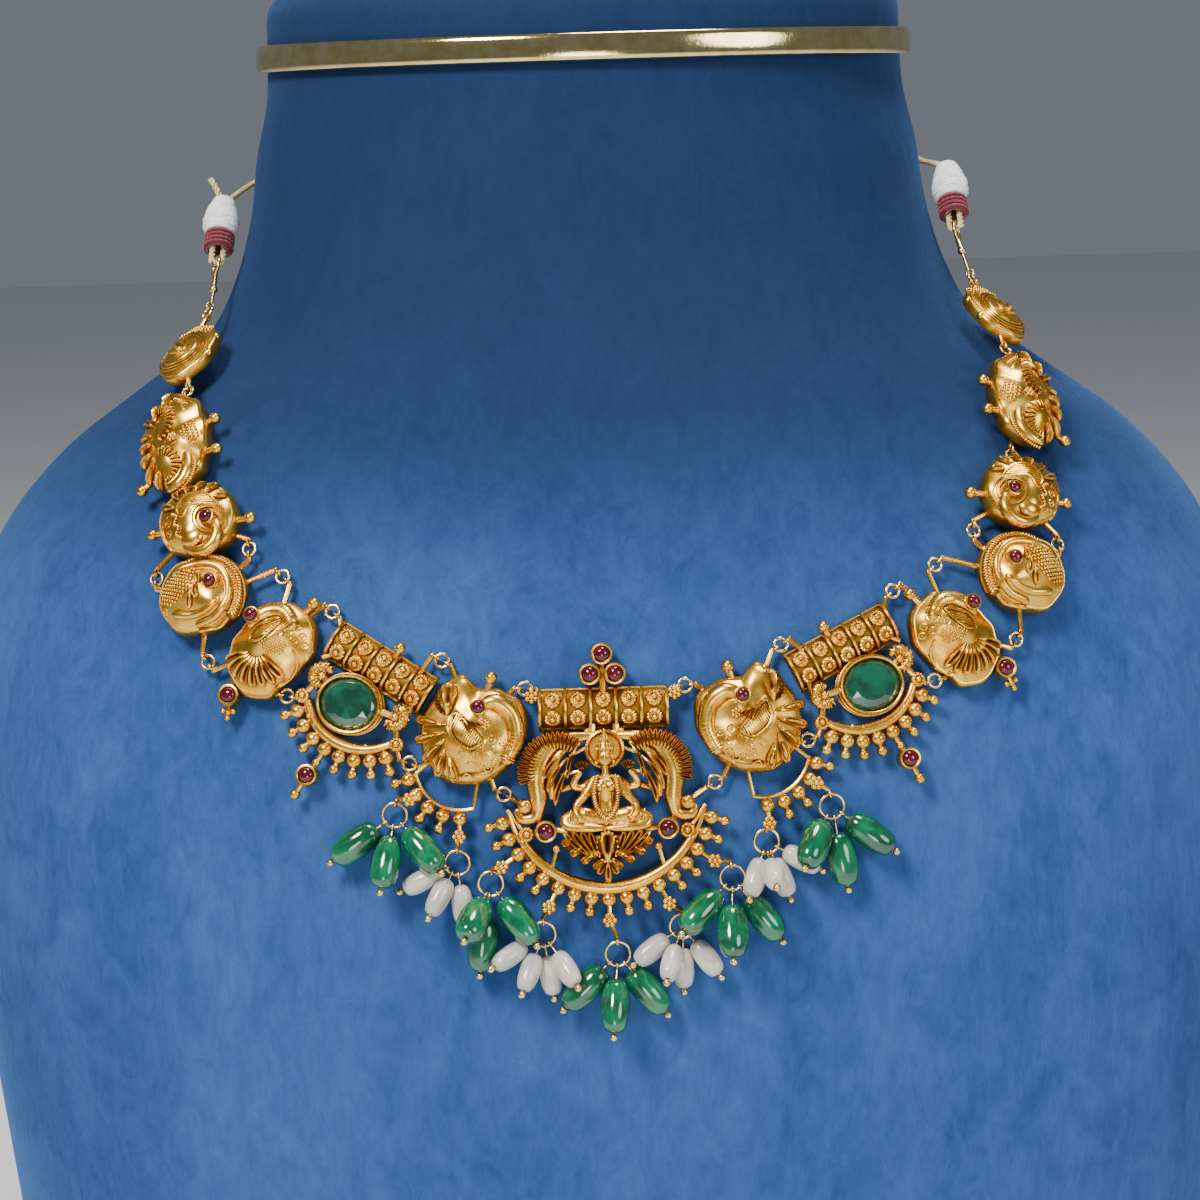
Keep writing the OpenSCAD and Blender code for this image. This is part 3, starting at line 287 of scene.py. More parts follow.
class Shell:
    """Closed surfaces of one piece, gathered in millimetres."""

    def __init__(self):
        self.points, self.faces, self.hollows, self.count = [], [], [], 0

    def add(self, points, faces, hollow=0.0):
        points = np.asarray(points, float).reshape(-1, 3)
        self.points.append(points)
        self.faces += [np.asarray(f, int) + self.count for f in faces]
        self.hollows.append(np.broadcast_to(np.asarray(hollow, float), (len(points),)))
        self.count += len(points)
        return self

    def merged(self):
        return np.concatenate(self.points), self.faces, np.concatenate(self.hollows)

    def include(self, other, matrix=None):
        """Adds another shell, moved by a matrix; a mirrored one keeps its faces outwards."""
        if other.count == 0:
            return self
        points, faces, hollow = other.merged()
        if matrix is None:
            return self.add(points, faces, hollow)
        if np.linalg.det(matrix[:3, :3]) < 0:
            faces = [f[:, ::-1] for f in faces]
        return self.add(moved(matrix, points), faces, hollow)

    def rings(self, rings, start, stop, hollow=0.0):
        """A skin over rings of points, each counter-clockwise about their run, closed at both ends."""
        rings = np.asarray(rings, float)
        n, m = rings.shape[:2]
        i, j = np.meshgrid(np.arange(n - 1), np.arange(m), indexing="ij")
        k = (j + 1) % m
        quads = np.stack([i * m + j, i * m + k, (i + 1) * m + k, (i + 1) * m + j], -1).reshape(-1, 4)
        a = np.arange(m)
        b = (a + 1) % m
        low = np.stack([np.full(m, n * m), b, a], -1)
        high = np.stack([np.full(m, n * m + 1), (n - 1) * m + a, (n - 1) * m + b], -1)
        if np.ndim(hollow):
            hollow = np.concatenate([np.asarray(hollow, float).reshape(-1),
                                     [hollow[0].mean(), hollow[-1].mean()]])
        return self.add(np.concatenate([rings.reshape(-1, 3), [start, stop]]),
                        [quads, np.concatenate([low, high])], hollow)

    def loop(self, rings, hollow=0.0):
        """A skin over rings that run round and meet the first one again."""
        rings = np.asarray(rings, float)
        n, m = rings.shape[:2]
        i, j = np.meshgrid(np.arange(n), np.arange(m), indexing="ij")
        k, l = (j + 1) % m, (i + 1) % n
        return self.add(rings, [np.stack([i * m + j, i * m + k, l * m + k, l * m + j], -1).reshape(-1, 4)],
                        hollow)

    def tube(self, path, radii, sides=12, flat=1.0, hollow=0.0):
        """Round bar of changing thickness along a path, with rounded ends; flat squeezes it along z."""
        path = np.asarray(path, float)
        radii = np.broadcast_to(np.asarray(radii, float), (len(path),))
        along = unit(np.gradient(path, axis=0))
        caps = np.radians([75, 50, 25])
        head = [(path[0] - along[0] * radii[0] * flat * math.sin(c), radii[0] * math.cos(c), along[0])
                for c in caps]
        tail = [(path[-1] + along[-1] * radii[-1] * flat * math.sin(c), radii[-1] * math.cos(c), along[-1])
                for c in caps[::-1]]
        rows = head + list(zip(path, radii, along)) + tail
        side, rings = np.array([0, 0, 1.0]), []
        t = around(sides)[:, None]
        for p, r, a in rows:
            side = side - a * (a @ side)
            side = side / max(np.linalg.norm(side), 1e-9)
            rings.append(p + r * (flat * side * np.cos(t) + np.cross(a, side) * np.sin(t)))
        ends = path[0] - along[0] * radii[0] * flat, path[-1] + along[-1] * radii[-1] * flat
        return self.rings(rings, *ends, hollow)

    def lathe(self, profile, sides=24, centre=(0, 0, 0), ripple=None, hollow=0.0):
        """A turned shape about z; its profile of radius and height runs up round the outside."""
        profile = np.asarray(profile, float)
        t = around(sides)
        r = np.repeat(profile[1:-1, :1], sides, 1)
        z = np.repeat(profile[1:-1, 1:2], sides, 1)
        if ripple is not None:
            count, depth, share = ripple
            z = z + np.cos(count * t)[None] * depth * np.asarray(share)[:, None]
        rings = np.stack([r * np.cos(t), r * np.sin(t), z], -1) + centre
        ends = [np.array([0, 0, profile[k, 1]]) + centre for k in (0, -1)]
        return self.rings(rings, *ends, hollow)

    def oval(self, centre, radii, hollow=0.0):
        """A smooth egg of three half sizes."""
        a = np.radians(np.linspace(-78, 78, 9))
        rows = np.stack([np.cos(a), np.sin(a)], -1)
        made = Shell().lathe(np.concatenate([[[0, -1]], rows, [[0, 1]]]), 18, hollow=hollow)
        points, faces, hollow = made.merged()
        return self.add(points * np.asarray(radii) + centre, faces, hollow)

    def leaf(self, root, tip, width, z0, z1, bend=0.0, thick=0.9, arch=0.5, groove=0.45, rows=18, across=12,
             blunt=6.0):
        """A feather or petal from a narrow root to a round tip: a raised rim round a sunk middle."""
        root, tip = np.array([*root, z0], float), np.array([*tip, z1], float)
        run = tip - root
        side = unit(np.array([-run[1], run[0], 0]))
        s = np.linspace(0.0, 1.0, rows)
        middle = (root + tip) / 2 + side * bend
        axis = ((1 - s) ** 2)[:, None] * root + (2 * s * (1 - s))[:, None] * middle + (s**2)[:, None] * tip
        axis[:, 2] += arch * np.sin(np.pi * s)
        half = width / 2 * (0.16 + 0.84 * s**0.8) * np.sqrt(np.clip(1.04 - s**blunt, 0, 1))
        t = np.sin(np.linspace(-90, 90, across + 1) * np.pi / 180)
        along = unit(np.gradient(axis, axis=0))
        cross = np.stack([along[:, 1], -along[:, 0], np.zeros(rows)], -1)
        cross = cross / np.linalg.norm(cross, axis=1)[:, None]
        open_part = np.clip((s - 0.22) / 0.2, 0, 1) * np.clip((0.94 - s) / 0.1, 0, 1)
        body = thick * (1 - t**4)[None] * np.clip(half / (width / 2), 0.25, 1)[:, None]
        sunk = groove * np.exp(-((t / 0.34) ** 2))[None] * open_part[:, None]
        rim = 0.22 * thick * np.exp(-(((np.abs(t) - 0.72) / 0.16) ** 2))[None] * np.ones((rows, 1))
        top = axis[:, None] + cross[:, None] * (t * half[:, None])[..., None]
        top[..., 2] += body - sunk + rim
        base = axis[:, None] + cross[:, None] * (t[::-1][1:-1] * half[:, None] * 0.9)[..., None]
        base[..., 2] -= 0.5
        # Darkness of the sunk middle and the outer edge: partly patina, partly painted shade; the underside,
        # fully dark, is painted shade.
        dark = np.concatenate([np.clip(sunk * 2.2, 0, 1) + 0.5 * (np.abs(t)[None] > 0.97),
                               np.ones((rows, across - 1))], 1)
        return self.rings(np.concatenate([top, base], 1), axis[0], axis[-1], dark)


def distance(x, y, path):
    """Distance from points to a path of straight lines."""
    best = np.full(np.shape(x), 1e9)
    path = np.asarray(path, float)[:, :2]
    for a, b in zip(path[:-1], path[1:]):
        d = b - a
        t = np.clip(((x - a[0]) * d[0] + (y - a[1]) * d[1]) / max(d @ d, 1e-9), 0, 1)
        best = np.minimum(best, np.hypot(x - a[0] - t * d[0], y - a[1] - t * d[1]))
    return best


class Dome:
    """A beaten plaque: a domed surface over an outline, with bumps and grooves, and lines laid on it."""

    def __init__(self, edge, rim, dome, bumps, grooves=()):
        self.edge, self.rim, self.dome = np.array(edge, float), rim, dome
        self.bumps, self.grooves = bumps, grooves

    def radius(self, degrees):
        a = np.mod(degrees, 360)
        i = np.clip(np.searchsorted(self.edge[:, 0], a, side="right") - 1, 0, len(self.edge) - 1)
        k = (i + 1) % len(self.edge)
        span = np.mod(self.edge[k, 0] - self.edge[i, 0] + 360, 360)
        u = (a - self.edge[i, 0]) / span
        return self.edge[i, 1] + (self.edge[k, 1] - self.edge[i, 1]) * (1 - np.cos(np.pi * u)) / 2

    def height(self, x, y):
        x, y = np.asarray(x, float), np.asarray(y, float)
        k = np.clip(np.hypot(x, y) / self.radius(np.degrees(np.arctan2(y, x))), 0, 1)
        z = self.rim + self.dome * np.sqrt(1 - k * k)
        for bx, by, w, h in self.bumps:
            z = z + (1 - k**4) * h * np.exp(-((x - bx) ** 2 + (y - by) ** 2) / w**2)
        return z

    def shell(self, spokes=180, rings=40):
        """The dome as a closed shell, its grooves cut in."""
        k = np.concatenate([[1.0], 1 - (np.arange(1, rings) / rings) ** 1.15])[:, None]
        a = np.arange(spokes) * 360 / spokes
        r = k * self.radius(a)[None]
        x, y = r * np.cos(np.radians(a)), r * np.sin(np.radians(a))
        z = self.height(x, y)
        # Darkness of a band round the foot of the rim and of the grooves: partly patina, partly painted
        # shade.
        dark = np.clip(0.25 * (k > 0.96) + np.zeros_like(z), 0, 1)
        for path, width, depth in self.grooves:
            cut = np.exp(-((distance(x, y, path) / width) ** 2))
            z = z - depth * cut
            dark = np.maximum(dark, 0.9 * cut)
        low = np.stack([x[0] * 0.98, y[0] * 0.98, np.zeros(spokes)], -1)
        grid = np.concatenate([low[None], np.stack([x, y, z], -1)])
        # The flat underside is fully dark: painted shade.
        dark = np.concatenate([np.ones((1, spokes)), dark])
        return Shell().rings(grid, (0, 0, 0), (0, 0, self.height(0, 0)), dark)

    def lay(self, points, lift=0.0, steps=5, closed=False):
        """A smooth line of the plan laid on the surface."""
        p = through(np.asarray(points, float)[:, :2], steps, closed)
        return np.stack([p[:, 0], p[:, 1], self.height(p[:, 0], p[:, 1]) + lift], -1)

    def circle(self, x, y, r, lift=0.0, n=12):
        t = around(n)
        px, py = x + r * np.cos(t), y + r * np.sin(t)
        return np.stack([px, py, self.height(px, py) + lift], -1)

    def hatch(self, polygon, degrees, pitch, lift=0.0):
        """Straight parallel lines within a polygon, laid on the surface."""
        p = np.asarray(polygon, float)[:, :2]
        c, s = math.cos(math.radians(degrees)), math.sin(math.radians(degrees))
        turn = np.array([[c, s], [-s, c]])
        q = p @ turn.T
        lines = []
        for y in np.arange(q[:, 1].min() + pitch / 2, q[:, 1].max(), pitch):
            cuts = []
            for (x0, y0), (x1, y1) in zip(q, np.roll(q, -1, 0)):
                if (y0 > y) != (y1 > y):
                    cuts.append(x0 + (y - y0) * (x1 - x0) / (y1 - y0))
            cuts.sort()
            for a, b in zip(cuts[::2], cuts[1::2]):
                if b - a > 0.3:
                    flat = np.stack([np.linspace(a, b, 7), np.full(7, y)], -1) @ turn
                    lines.append(np.stack([flat[:, 0], flat[:, 1], self.height(flat[:, 0], flat[:, 1])
                                           + lift], -1))
        return lines


# Node trees

class Value:
    """A number's socket; arithmetic on it adds Math nodes."""

    def __init__(self, nodes, socket):
        self.nodes, self.socket = nodes, socket

    def math(self, operation, *values, clamp=False):
        made = self.nodes.add("ShaderNodeMath", {"operation": operation, "use_clamp": clamp},
                              dict(enumerate(values)))
        return Value(self.nodes, made.outputs[0])

    def __add__(self, other):
        return self.math("ADD", self, other)

    def __sub__(self, other):
        return self.math("SUBTRACT", self, other)

    def __rsub__(self, other):
        return self.math("SUBTRACT", other, self)

    def __mul__(self, other):
        return self.math("MULTIPLY", self, other)

    __radd__ = __add__
    __rmul__ = __mul__

    def clipped(self):
        return self.math("ADD", self, 0.0, clamp=True)

    def between(self, low, high):
        """0 below low, 1 above high, smooth in between."""
        made = self.nodes.add("ShaderNodeMapRange", {"interpolation_type": "SMOOTHSTEP"},
                              {"Value": self, "From Min": low, "From Max": high})
        return Value(self.nodes, made.outputs[0])


class Nodes:
    """Adds nodes to a tree and joins them up."""

    def __init__(self, tree):
        self.tree = tree

    def add(self, kind, settings=(), inputs=()):
        made = self.tree.nodes.new(kind)
        for key, value in dict(settings).items():
            setattr(made, key, value)
        for key, value in dict(inputs).items():
            socket = made.inputs[key]
            if isinstance(value, Value):
                value = value.socket
            if isinstance(value, bpy.types.NodeSocket):
                self.tree.links.new(value, socket)
            else:
                socket.default_value = value
        return made

    def value(self, kind, settings=(), inputs=(), output=0):
        return Value(self, self.add(kind, settings, inputs).outputs[output])

    def mapped(self, scale, rotation=(0, 0, 0)):
        """Object coordinates, stretched and turned."""
        return self.add("ShaderNodeMapping", {}, {
            "Vector": self.coords, "Scale": scale, "Rotation": rotation}).outputs[0]

    def noise(self, scale, detail=2.0, rough=0.5, vector=None, distortion=0.0):
        return self.value("ShaderNodeTexNoise", {}, {
            "Vector": vector or self.coords, "Scale": scale, "Detail": detail, "Roughness": rough,
            "Distortion": distortion})

    def blend(self, factor, a, b):
        """Mix of two colours; a colour is a triple or a socket."""
        pair = [(*c, 1) if isinstance(c, tuple) else c for c in (a, b)]
        made = self.add("ShaderNodeMix", {"data_type": "RGBA"}, {0: factor, 6: pair[0], 7: pair[1]})
        return made.outputs[2]

    def bump(self, height, strength, distance_mm):
        return self.add("ShaderNodeBump", {}, {"Height": height, "Strength": strength,
                                               "Distance": distance_mm * MM}).outputs[0]


def new_material(name, constants):
    """A material and the constants of its shader; returns its nodes and a function that links values."""
    made = bpy.data.materials.new(name)
    made.use_nodes = True
    nodes = Nodes(made.node_tree)
    shader = made.node_tree.nodes["Principled BSDF"]
    for key, value in constants.items():
        shader.inputs[key].default_value = value
    nodes.coords = nodes.add("ShaderNodeTexCoord").outputs["Object"]

    def feed(**links):
        for key, value in links.items():
            socket = value.socket if isinstance(value, Value) else value
            made.node_tree.links.new(socket, shader.inputs[key.replace("_", " ")])
        return made

    return nodes, feed


def gold_material(name, bright, middle, recess, roughness, patina_and_shade=1.0, reach=1.1):
    """Worn gold: dark in the hollows, partly patina and partly painted shade, warm on the flats and bright
    on what stands proud.
    """
    nodes, feed = new_material(name, {"Metallic": 1.0, "Roughness": roughness, "Coat Weight": 0.0})
    cloud = nodes.noise(420, 3)
    grain = nodes.noise(3800, 4, 0.65)
    # The hollow attribute darkens grooves, sunk middles and undersides: partly patina, partly painted shade.
    hollow = nodes.value("ShaderNodeAttribute", {"attribute_name": "hollow"}, {}, 2)
    # Painted shade: ambient occlusion darkens the colour where the gold is crowded by other parts.
    shadow = 1 - nodes.value("ShaderNodeAmbientOcclusion", {"samples": 5}, {"Distance": reach * MM}, 1)
    # depth gathers the painted shade and the patina of the hollows, with fine grain; its strength is scaled
    # by one factor.
    depth = (shadow.between(0.12, 0.95) * (0.85 * patina_and_shade) + hollow * (0.75 * patina_and_shade) + (grain - 0.5)
             * 0.3).clipped()
    warm = nodes.blend(cloud.between(0.3, 0.72), bright, middle)
    colour = nodes.blend(depth, warm, recess)
    rough = (roughness + (grain - 0.5) * 0.18 + depth * 0.25).clipped()
    pits = grain * 0.6 + nodes.noise(1400, 2) * 1.2
    return feed(Base_Color=colour, Roughness=rough, Normal=nodes.bump(pits, 0.22, 0.06))


def velvet_material(look):
    """Brushed velvet: a short pile that lies in patches of different direction; its lighter patches and
    specks are painted sheen, its dark neck painted shade.
    """
    nodes, feed = new_material("velvet", {
        "Roughness": 0.95, "Sheen Weight": 0.3, "Sheen Roughness": 0.3, "Sheen Tint": (0.2, 0.45, 1.0, 1),
        "Specular IOR Level": 0.15})
    parts = nodes.add("ShaderNodeSeparateXYZ", {}, {0: nodes.coords})
    high = Value(nodes, parts.outputs["Z"])
    stretched = nodes.mapped((1.0, 1.0, 0.55))
    patch = nodes.noise(30, 4, 0.62, stretched, 0.6)
    marks = nodes.noise(150, 5, 0.7, stretched, 1.4)
    pile = nodes.noise(2300, 3, 0.8)
    streak = nodes.noise(700, 3, 0.75, nodes.mapped((1.0, 1.0, 0.3), (0, 0.5, 0)))
    base, light, dark = (tuple(look.velvet), tuple(look.velvet_light), tuple(look.velvet_dark))
    # Patches, streaks and marks of pile at random; their lighter tone is painted sheen where the pile
    # catches the light.
    tone = (patch.between(0.34, 0.68) * 0.45 + (marks - 0.5) * 1.1 + (streak - 0.5) * 0.6 + 0.22).clipped()
    colour = nodes.blend(tone, base, light)
    # Painted shade: the velvet darkens from 0.15 m upwards, over the whole neck.
    neck = high.between(0.15, 0.2) * 0.82
    colour = nodes.blend((neck + (patch - 0.5) * 0.3).clipped(), colour, dark)
    flecks = (marks.between(0.56, 0.7) * pile.between(0.5, 0.72)) * 0.55
    colour = nodes.blend(flecks, colour, dark)
    # Painted sheen: fine specks of pile lightened.
    colour = nodes.blend(pile.between(0.6, 0.85) * 0.28, colour, light)
    nap = pile * 0.8 + streak * 0.8 + marks * 1.4
    return feed(Base_Color=colour, Normal=nodes.bump(nap, 0.5, 0.35))


def ruby_material():
    nodes, feed = new_material("ruby", {
        "Roughness": 0.06, "Coat Weight": 0.5, "Coat Roughness": 0.03, "Specular IOR Level": 0.4})
    haze = nodes.noise(900, 2)
    colour = nodes.blend(haze.between(0.3, 0.75), (0.05, 0.001, 0.006), (0.13, 0.002, 0.014))
    return feed(Base_Color=colour, Roughness=(haze * 0.06 + 0.04))


def emerald_material():
    nodes, feed = new_material("emerald", {"Roughness": 0.04, "Coat Weight": 1.0, "Coat Roughness": 0.02,
                                           "Specular IOR Level": 0.7, "IOR": 1.58})
    cloud = nodes.noise(260, 3, 0.6, distortion=1.0)
    veil = nodes.noise(900, 4, 0.7, distortion=2.0)
    colour = nodes.blend(cloud.between(0.32, 0.7), (0.001, 0.035, 0.018), (0.002, 0.1, 0.05))
    colour = nodes.blend(veil.between(0.6, 0.8) * 0.25, colour, (0.02, 0.2, 0.12))
    return feed(Base_Color=colour, Roughness=(veil * 0.08 + 0.02))


def green_bead_material():
    nodes, feed = new_material("green_bead", {
        "Coat Weight": 1.0, "Coat Roughness": 0.04, "Specular IOR Level": 0.6,
        "Subsurface Weight": 0.1, "Subsurface Radius": (0.002, 0.006, 0.004), "Subsurface Scale": 0.3})
    cloud = nodes.noise(190, 3, 0.6, distortion=0.8)
    veil = nodes.noise(700, 4, 0.7, distortion=1.5)
    colour = nodes.blend(cloud.between(0.34, 0.68), (0.001, 0.06, 0.022), (0.003, 0.18, 0.07))
    colour = nodes.blend(veil.between(0.58, 0.82) * 0.25, colour, (0.04, 0.36, 0.19))
    return feed(Base_Color=colour, Roughness=(veil * 0.12 + 0.06), Normal=nodes.bump(cloud, 0.12, 0.2))


def pearl_material():
    nodes, feed = new_material("pearl", {
        "Coat Weight": 0.6, "Coat Roughness": 0.12, "Specular IOR Level": 0.6, "Sheen Weight": 0.2,
        "Subsurface Weight": 0.15, "Subsurface Radius": (0.002, 0.0018, 0.0016), "Subsurface Scale": 0.3})
    wave = nodes.noise(260, 3, 0.5, distortion=0.6)
    skin_marks = nodes.noise(1500, 3, 0.6)
    colour = nodes.blend(wave.between(0.3, 0.7), (0.68, 0.62, 0.52), (0.46, 0.45, 0.43))
    colour = nodes.blend(skin_marks.between(0.6, 0.8) * 0.25, colour, (0.95, 0.88, 0.86))
    return feed(Base_Color=colour, Roughness=(wave * 0.12 + 0.16),
                Normal=nodes.bump(wave + skin_marks * 0.3, 0.25, 0.18))


def thread_material(name, colour, light, scale, roughness):
    """Spun thread: fine fibres with a soft sheen."""
    nodes, feed = new_material(name, {"Roughness": roughness, "Sheen Weight": 0.5, "Sheen Roughness": 0.4})
    fibre = nodes.noise(scale, 4, 0.7)
    clump = nodes.noise(scale / 5, 3, 0.6)
    made = nodes.blend((fibre * 0.7 + clump * 0.5).between(0.35, 0.85), colour, light)
    return feed(Base_Color=made, Roughness=(roughness + (fibre - 0.5) * 0.2).clipped(),
                Normal=nodes.bump(fibre + clump, 0.6, 0.12))


# Geometry trees

class Growth:
    """A Geometry Nodes tree with named inputs, run on a source mesh and read back as plain surfaces."""

    def __init__(self, name, inputs):
        self.tree = bpy.data.node_groups.new(name, "GeometryNodeTree")
        self.nodes = Nodes(self.tree)
        face = self.tree.interface
        face.new_socket("Geometry", in_out="INPUT", socket_type="NodeSocketGeometry")
        for label, kind in inputs.items():
            face.new_socket(label, in_out="INPUT", socket_type="NodeSocket" + kind)
        face.new_socket("Material", in_out="INPUT", socket_type="NodeSocketMaterial")
        face.new_socket("Geometry", in_out="OUTPUT", socket_type="NodeSocketGeometry")
        self.given = self.nodes.add("NodeGroupInput").outputs
        self.ids = {s.name: s.identifier for s in face.items_tree if s.in_out == "INPUT"}

    def put(self, kind, inputs=(), output=0, **settings):
        """Adds a geometry node and returns one of its outputs."""
        return self.nodes.add("GeometryNode" + kind, settings, inputs).outputs[output]

    def number(self, name):
        """A named input, ready for arithmetic."""
        return Value(self.nodes, self.given[name])

    def vector(self, x=0.0, y=0.0, z=0.0):
        return self.nodes.add("ShaderNodeCombineXYZ", {}, {0: x, 1: y, 2: z}).outputs[0]

    def lines(self):
        """The source mesh's lines as curves."""
        return self.put("MeshToCurve", {0: self.given["Geometry"]})

    def row(self, count, spots):
        """Points at given spots."""
        line = self.put("MeshLine", {"Count": count, "Offset": (0, 0, 0)})
        return self.put("SetPosition", {"Geometry": line, "Position": spots})

    def close(self, geometry):
        """Ends the tree: real geometry with the material set."""
        real = self.put("RealizeInstances", {0: geometry})
        painted = self.put("SetMaterial", {"Geometry": real, "Material": self.given["Material"]})
        self.nodes.add("NodeGroupOutput", {}, {0: painted})
        return self

    def run(self, points, edges, sizes, values, material):
        """Runs the tree on points and edges in millimetres and returns a Shell."""
        source = bpy.data.meshes.new("source")
        source.from_pydata([tuple(p) for p in points], [tuple(e) for e in edges], [])
        if len(sizes):
            made = source.attributes.new("size", "FLOAT", "POINT")
            made.data.foreach_set("value", np.asarray(sizes, np.float32))
        holder = bpy.data.objects.new("growth", source)
        bpy.context.scene.collection.objects.link(holder)
        modifier = holder.modifiers.new("growth", "NODES")
        modifier.node_group = self.tree
        for key, data in {**values, "Material": material}.items():
            modifier[self.ids[key]] = data
        grown = evaluated_mesh(holder)
        holder.modifiers.remove(modifier)
        points, faces = mesh_arrays(grown)
        bpy.data.objects.remove(holder)
        bpy.data.meshes.remove(grown)
        bpy.data.meshes.remove(source)
        return Shell().add(points, faces)


def evaluated_mesh(holder):
    """The mesh of an object with its modifiers worked out."""
    return bpy.data.meshes.new_from_object(holder.evaluated_get(bpy.context.evaluated_depsgraph_get()))


def mesh_arrays(mesh):
    """Vertices and faces of a mesh as arrays, the faces grouped by their number of corners."""
    points = np.zeros(len(mesh.vertices) * 3, np.float32)
    mesh.vertices.foreach_get("co", points)
    corners, starts, totals = (np.zeros(n, np.int32) for n in (len(mesh.loops), *[len(mesh.polygons)] * 2))
    mesh.loops.foreach_get("vertex_index", corners)
    mesh.polygons.foreach_get("loop_start", starts)
    mesh.polygons.foreach_get("loop_total", totals)
    faces = [corners[starts[totals == k][:, None] + np.arange(k)] for k in np.unique(totals)]
    return points.reshape(-1, 3).astype(float), faces


def granule_tree():
    """A ball on each point, its diameter in the attribute size."""
    g = Growth("granules", {"Segments": "Int", "Rings": "Int"})
    ball = g.put("MeshUVSphere", {"Segments": g.given["Segments"], "Rings": g.given["Rings"],
                                  "Radius": 0.5})
    size = g.put("InputNamedAttribute", {"Name": "size"}, "Attribute", data_type="FLOAT")
    return g.close(g.put("InstanceOnPoints", {"Points": g.given["Geometry"], "Instance": ball,
                                              "Scale": size}))


def wire_tree():
    """A round wire along each line of the mesh, its radius in the attribute size."""
    g = Growth("wires", {"Sides": "Int"})
    size = g.put("InputNamedAttribute", {"Name": "size"}, "Attribute", data_type="FLOAT")
    ring = g.put("CurvePrimitiveCircle", {"Resolution": g.given["Sides"], "Radius": 1.0})
    return g.close(g.put("CurveToMesh", {
        "Curve": g.lines(), "Profile Curve": ring, "Scale": size, "Fill Caps": True}))


def fringe_tree():
    """One shape repeated round an arc, pointing outwards."""
    g = Growth("fringe", {"Shape": "Object", "Count": "Int", "Radius": "Float", "First angle": "Float",
                          "Step angle": "Float"})
    angle = Value(g.nodes, g.put("InputIndex")) * g.number("Step angle") + g.number("First angle")
    reach = g.number("Radius")
    spots = g.vector(angle.math("COSINE", angle) * reach, angle.math("SINE", angle) * reach)
    shape = g.put("ObjectInfo", {"Object": g.given["Shape"], "As Instance": True}, "Geometry")
    return g.close(g.put("InstanceOnPoints", {
        "Points": g.row(g.given["Count"], spots), "Instance": shape, "Rotation": g.vector(z=angle)}))


def rope_tree():
    """Stretched beads packed along each line of the mesh, leaning across it like the turns of a rope."""
    g = Growth("rope", {"Spacing": "Float", "Bead size": "Vector", "Lean": "Float"})
    even = g.nodes.add("GeometryNodeCurveToPoints", {"mode": "LENGTH"}, {
        "Curve": g.lines(), "Length": g.given["Spacing"]}).outputs
    ball = g.put("MeshUVSphere", {"Segments": 12, "Rings": 8, "Radius": 0.5})
    facing = g.nodes.add("FunctionNodeAlignRotationToVector", {"axis": "X", "pivot_axis": "Z"}, {
        "Vector": even["Tangent"]})
    turn = g.nodes.add("FunctionNodeRotateRotation", {"rotation_space": "LOCAL"}, {
        0: facing.outputs[0], 1: g.vector(z=g.given["Lean"])})
    return g.close(g.put("InstanceOnPoints", {"Points": even["Points"], "Instance": ball,
                                              "Rotation": turn.outputs[0], "Scale": g.given["Bead size"]}))


def rosette_tree():
    """Two rows of one shape on a barrel bar, each row tilted away from the middle."""
    g = Growth("rosettes", {"Shape": "Object", "Columns": "Int", "Pitch": "Float", "Tilt": "Float",
                            "Barrel radius": "Float", "Barrel depth": "Float"})
    shape = g.put("ObjectInfo", {"Object": g.given["Shape"], "As Instance": True}, "Geometry")
    x = (Value(g.nodes, g.put("InputIndex")) + 0.5 - g.number("Columns") * 0.5) * g.number("Pitch")
    reach = g.number("Barrel radius")
    joined = g.nodes.add("GeometryNodeJoinGeometry")
    for way in (-1, 1):
        tilt = g.number("Tilt") * -way
        spots = g.vector(x, tilt.math("SINE", tilt) * reach * -1,
                         tilt.math("COSINE", tilt) * reach + g.number("Barrel depth"))
        row = g.put("InstanceOnPoints", {
            "Points": g.row(g.given["Columns"], spots), "Instance": shape, "Rotation": g.vector(tilt)})
        g.tree.links.new(row, joined.inputs[0])
    return g.close(joined.outputs[0])


def cord_tree():
    """Twisted strands along the lines of the mesh."""
    g = Growth("cord", {"Diameter": "Float", "Strands": "Int", "Turns per mm": "Float"})
    even = g.put("ResampleCurve", {"Curve": g.lines(), "Length": 0.45}, mode="LENGTH")
    ring = g.put("CurvePrimitiveCircle", {"Resolution": 30, "Radius": 1.0})
    lobes = Value(g.nodes, g.put("SplineParameter")) * g.number("Strands") * math.pi
    swell = lobes.math("ABSOLUTE", lobes.math("SINE", lobes)) * 0.42 + 0.58
    pushed = g.nodes.add("ShaderNodeVectorMath", {"operation": "SCALE"},
                         {0: g.put("InputPosition"), "Scale": swell})
    profile = g.put("SetPosition", {"Geometry": ring, "Position": pushed.outputs[0]})
    twist = Value(g.nodes, g.put("SplineParameter", (), 1)) * g.number("Turns per mm") * (2 * math.pi)
    tilted = g.put("SetCurveTilt", {"Curve": even, "Tilt": twist})
    return g.close(g.put("CurveToMesh", {
        "Curve": tilted, "Profile Curve": profile, "Scale": g.number("Diameter") * 0.5, "Fill Caps": True}))


TREES = {"granules": granule_tree, "wires": wire_tree, "fringe": fringe_tree, "rope": rope_tree,
         "rosettes": rosette_tree, "cord": cord_tree}
GROWTHS = {}


def growth(name):
    """The tree of one kind of repeated work, made when it is first wanted."""
    if name not in GROWTHS:
        GROWTHS[name] = TREES[name]()
    return GROWTHS[name]


# Pieces

def golds(look):
    """The chosen colours of the gold: bright, middle, hollows."""
    return tuple(look.gold_bright), tuple(look.gold_middle), tuple(look.gold_recess)


